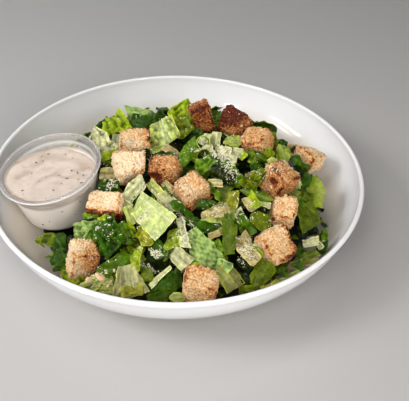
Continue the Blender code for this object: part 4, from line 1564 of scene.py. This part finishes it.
# %% Shreds and where they land
def flake(name, size, seed):
    """One small irregular crumb."""
    let_go()
    bpy.ops.mesh.primitive_cube_add(size=1)
    piece = bpy.context.object
    piece.name = name
    piece.scale = [part * MM for part in size]
    bpy.ops.object.transform_apply(location=False, rotation=False, scale=True)
    if max(size) > 1:
        open_mesh(piece)
        bpy.ops.mesh.subdivide(number_cuts=1)
        close_mesh()
    points = points_of(piece)
    points += 0.25 * min(size) * MM * np.stack([rough(points, MM, seed + k) for k in range(3)], axis=1)
    points *= (1 - 0.12 * np.linalg.norm(points / (np.array(size) * MM / 2), axis=1) ** 2)[:, None] * 1.2
    set_points(piece, points)
    return piece


def landed(tree_below, x, y):
    """Where something dropped at x, y comes to rest, and the surface's direction there."""
    place, direction, _, _ = tree_below.ray_cast(Vector((x, y, 0.12)), Vector((0, 0, -1)))
    return place, direction


def scattered(name, kinds, drops, chance):
    """Copies of a few small kinds, turned at random, as one mesh."""
    pieces = [(points_of(kind), [list(face.vertices) for face in kind.data.polygons]) for kind in kinds]
    points, faces, count = [], [], 0
    for place, direction, size in drops:
        shape, sides = chance.choice(pieces)
        turn = Matrix.Rotation(chance.uniform(0, math.tau), 3, "Z")
        tilt = Vector((0, 0, 1)).rotation_difference(direction).to_matrix()
        lean = Matrix.Rotation(chance.gauss(0, 0.35), 3, "X")
        turned = shape @ np.array(tilt @ lean @ turn).T * size + np.array(place)
        points.append(turned)
        faces += [[index + count for index in side] for side in sides]
        count += len(shape)
    mesh = bpy.data.meshes.new(name)
    mesh.from_pydata(np.concatenate(points).tolist(), [], faces)
    made = bpy.data.objects.new(name, mesh)
    bpy.context.scene.collection.objects.link(made)
    for kind in kinds:
        bpy.data.objects.remove(kind)
    return made


def surface_tree(pieces):
    """One search tree over several pieces."""
    points, faces, count = [], [], 0
    for piece in pieces:
        points += [vertex.co.copy() for vertex in piece.data.vertices]
        faces += [[index + count for index in face.vertices] for face in piece.data.polygons]
        count += len(piece.data.vertices)
    return BVHTree.FromPolygons(points, faces)


# %% Drop the cheese
CHEESE_HEAPS = [  # middle x y, spread, how many, all but the count in mm
    (29, -8, 7, 520), (34, -2, 6, 260), (37, -22, 6, 260), (-16, -84, 6, 420), (-21, -64, 4, 120),
    # (-44, -68) lies on the dark leaf at the left front: cheese, and white specks as painted glints
    (5, -70, 4, 200), (43, -56, 6, 260), (3, -77, 5, 160), (-44, -68, 8, 70), (20, -4, 6, 160),
    (-44, -26, 5, 180), (-34, 4, 6, 160), (3, -48, 7, 260), (44, -82, 6, 220), (-18, -42, 6, 120),
    (62, -58, 6, 100), (76, -10, 7, 90), (86, -62, 6, 80), (-50, -92, 6, 120), (-55, 12, 8, 120),
    (60, -22, 8, 120), (25, -60, 8, 90),
]
DUST = 900

chance = random.Random(21)
food = [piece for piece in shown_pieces() if "leaves" in piece.name or "ribs" in piece.name
        or "crouton" in piece.name or "core" in piece.name]
below = surface_tree(food)
drops = []
wanted = [(x, y, spread) for x, y, spread, count in CHEESE_HEAPS for _ in range(count)]
wanted += [(4, -5, 52)] * DUST
for x, y, spread in wanted:
    place, direction = landed(
        below, chance.gauss(x, spread * 0.6) * MM, chance.gauss(y, spread * 0.6) * MM
    )
    if place is not None and place.z > 18 * MM and direction.z > 0.1:
        drops.append((place + direction * 0.1 * MM, direction, 0.5 + 0.9 * chance.random() ** 2))
shreds = [
    flake("long_shred", (2.3, 0.45, 0.35), 1),
    flake("shred", (1.5, 0.5, 0.35), 4),
    flake("crumb", (0.9, 0.6, 0.45), 2),
    flake("grain", (0.5, 0.45, 0.4), 3),
    flake("speck", (0.35, 0.3, 0.3), 8),
]
cheese = scattered("grated_cheese", shreds, drops, chance)

cheese_look, tree, shader = new_look("grated_cheese", 0.6)
places = object_places(tree)
grain = place_group(tree, grain_group, places, Scale=700.0).outputs["Grain"]
tree.links.new(blend(tree, grain, shade(214, 208, 172), shade(242, 238, 218)), shader.inputs["Base Color"])
hand_over(cheese, cheese_look, "cheese", sharp=60)

# %% [markdown]
# ## Last touches
# Pepper in the dressing and crumbs of bread. They are dropped and turned the same way.

# %% Pepper
PEPPER_ON_TOP = 26
PEPPER_IN_WALL = 26

chance = random.Random(5)
drops = []
for _ in range(PEPPER_ON_TOP):
    way, out = chance.uniform(0, math.tau), 27 * MM * math.sqrt(chance.random())
    x, y = CUP_RIM_CENTRE.x + out * math.cos(way), CUP_RIM_CENTRE.y + out * math.sin(way)
    drops.append((Vector((x, y, DRESSING_LEVEL + 0.1 * MM)), Vector((0, 0, 1)), chance.uniform(0.5, 1.2)))
lean = Vector((0, 0, 1)).rotation_difference(CUP_UP).to_matrix()
for _ in range(PEPPER_IN_WALL):
    way, depth = chance.uniform(0, math.tau), chance.uniform(0.35, 0.9)
    out = CUP_BASE_RADIUS + (CUP_RADIUS - CUP_RIM_WIDTH - CUP_BASE_RADIUS) * (1 - depth) - 0.5 * MM
    spot = Vector((out * math.cos(way), out * math.sin(way), -depth * CUP_HEIGHT))
    place = CUP_RIM_CENTRE + lean @ spot
    if place.z < DRESSING_LEVEL:
        outward = lean @ Vector((math.cos(way), math.sin(way), 0))
        drops.append((place, outward, chance.uniform(0.5, 1.1)))
grinds = [flake("grind", (1.2, 0.9, 0.5), 4), flake("grind_long", (1.8, 0.6, 0.5), 6)]
pepper = scattered("ground_pepper", grinds, drops, chance)
pepper_look, tree, shader = new_look("ground_pepper", 0.6)
places = object_places(tree)
grain = place_group(tree, grain_group, places, Scale=900.0).outputs["Grain"]
tree.links.new(blend(tree, grain, shade(40, 30, 24), shade(96, 80, 62)), shader.inputs["Base Color"])
hand_over(pepper, pepper_look, "pepper", sharp=60)

# %% Bread crumbs
CRUMB_HEAPS = [
    (-48, -95, 0.5, 1, 3.0),
    (-55, -96, 0.5, 1, 2.3),
    (-45, -100, 5, 5, 0.9),
    (-30, -4, 14, 4, 1.1),
    (60, -20, 14, 5, 1.1),
]

chance = random.Random(13)
drops = []
for x, y, spread, count, size in CRUMB_HEAPS:
    for _ in range(count):
        place, direction = landed(below, chance.gauss(x, spread) * MM, chance.gauss(y, spread) * MM)
        if place is not None:
            drops.append((place + direction * 0.4 * size * MM, direction, size * chance.uniform(0.8, 1.2)))
bits = [flake("bit", (1.8, 1.5, 1.2), 7), flake("bit_flat", (2.2, 1.4, 0.9), 9)]
crumbs = scattered("bread_crumbs", bits, drops, chance)
layer = crumbs.data.color_attributes.new("toast_and_shade", "FLOAT_COLOR", "POINT")
layer.data.foreach_set("color", np.tile([0.26, 0.0, 0.0, 1.0], len(crumbs.data.vertices)))
hand_over(crumbs, bread, "crouton", sharp=60)
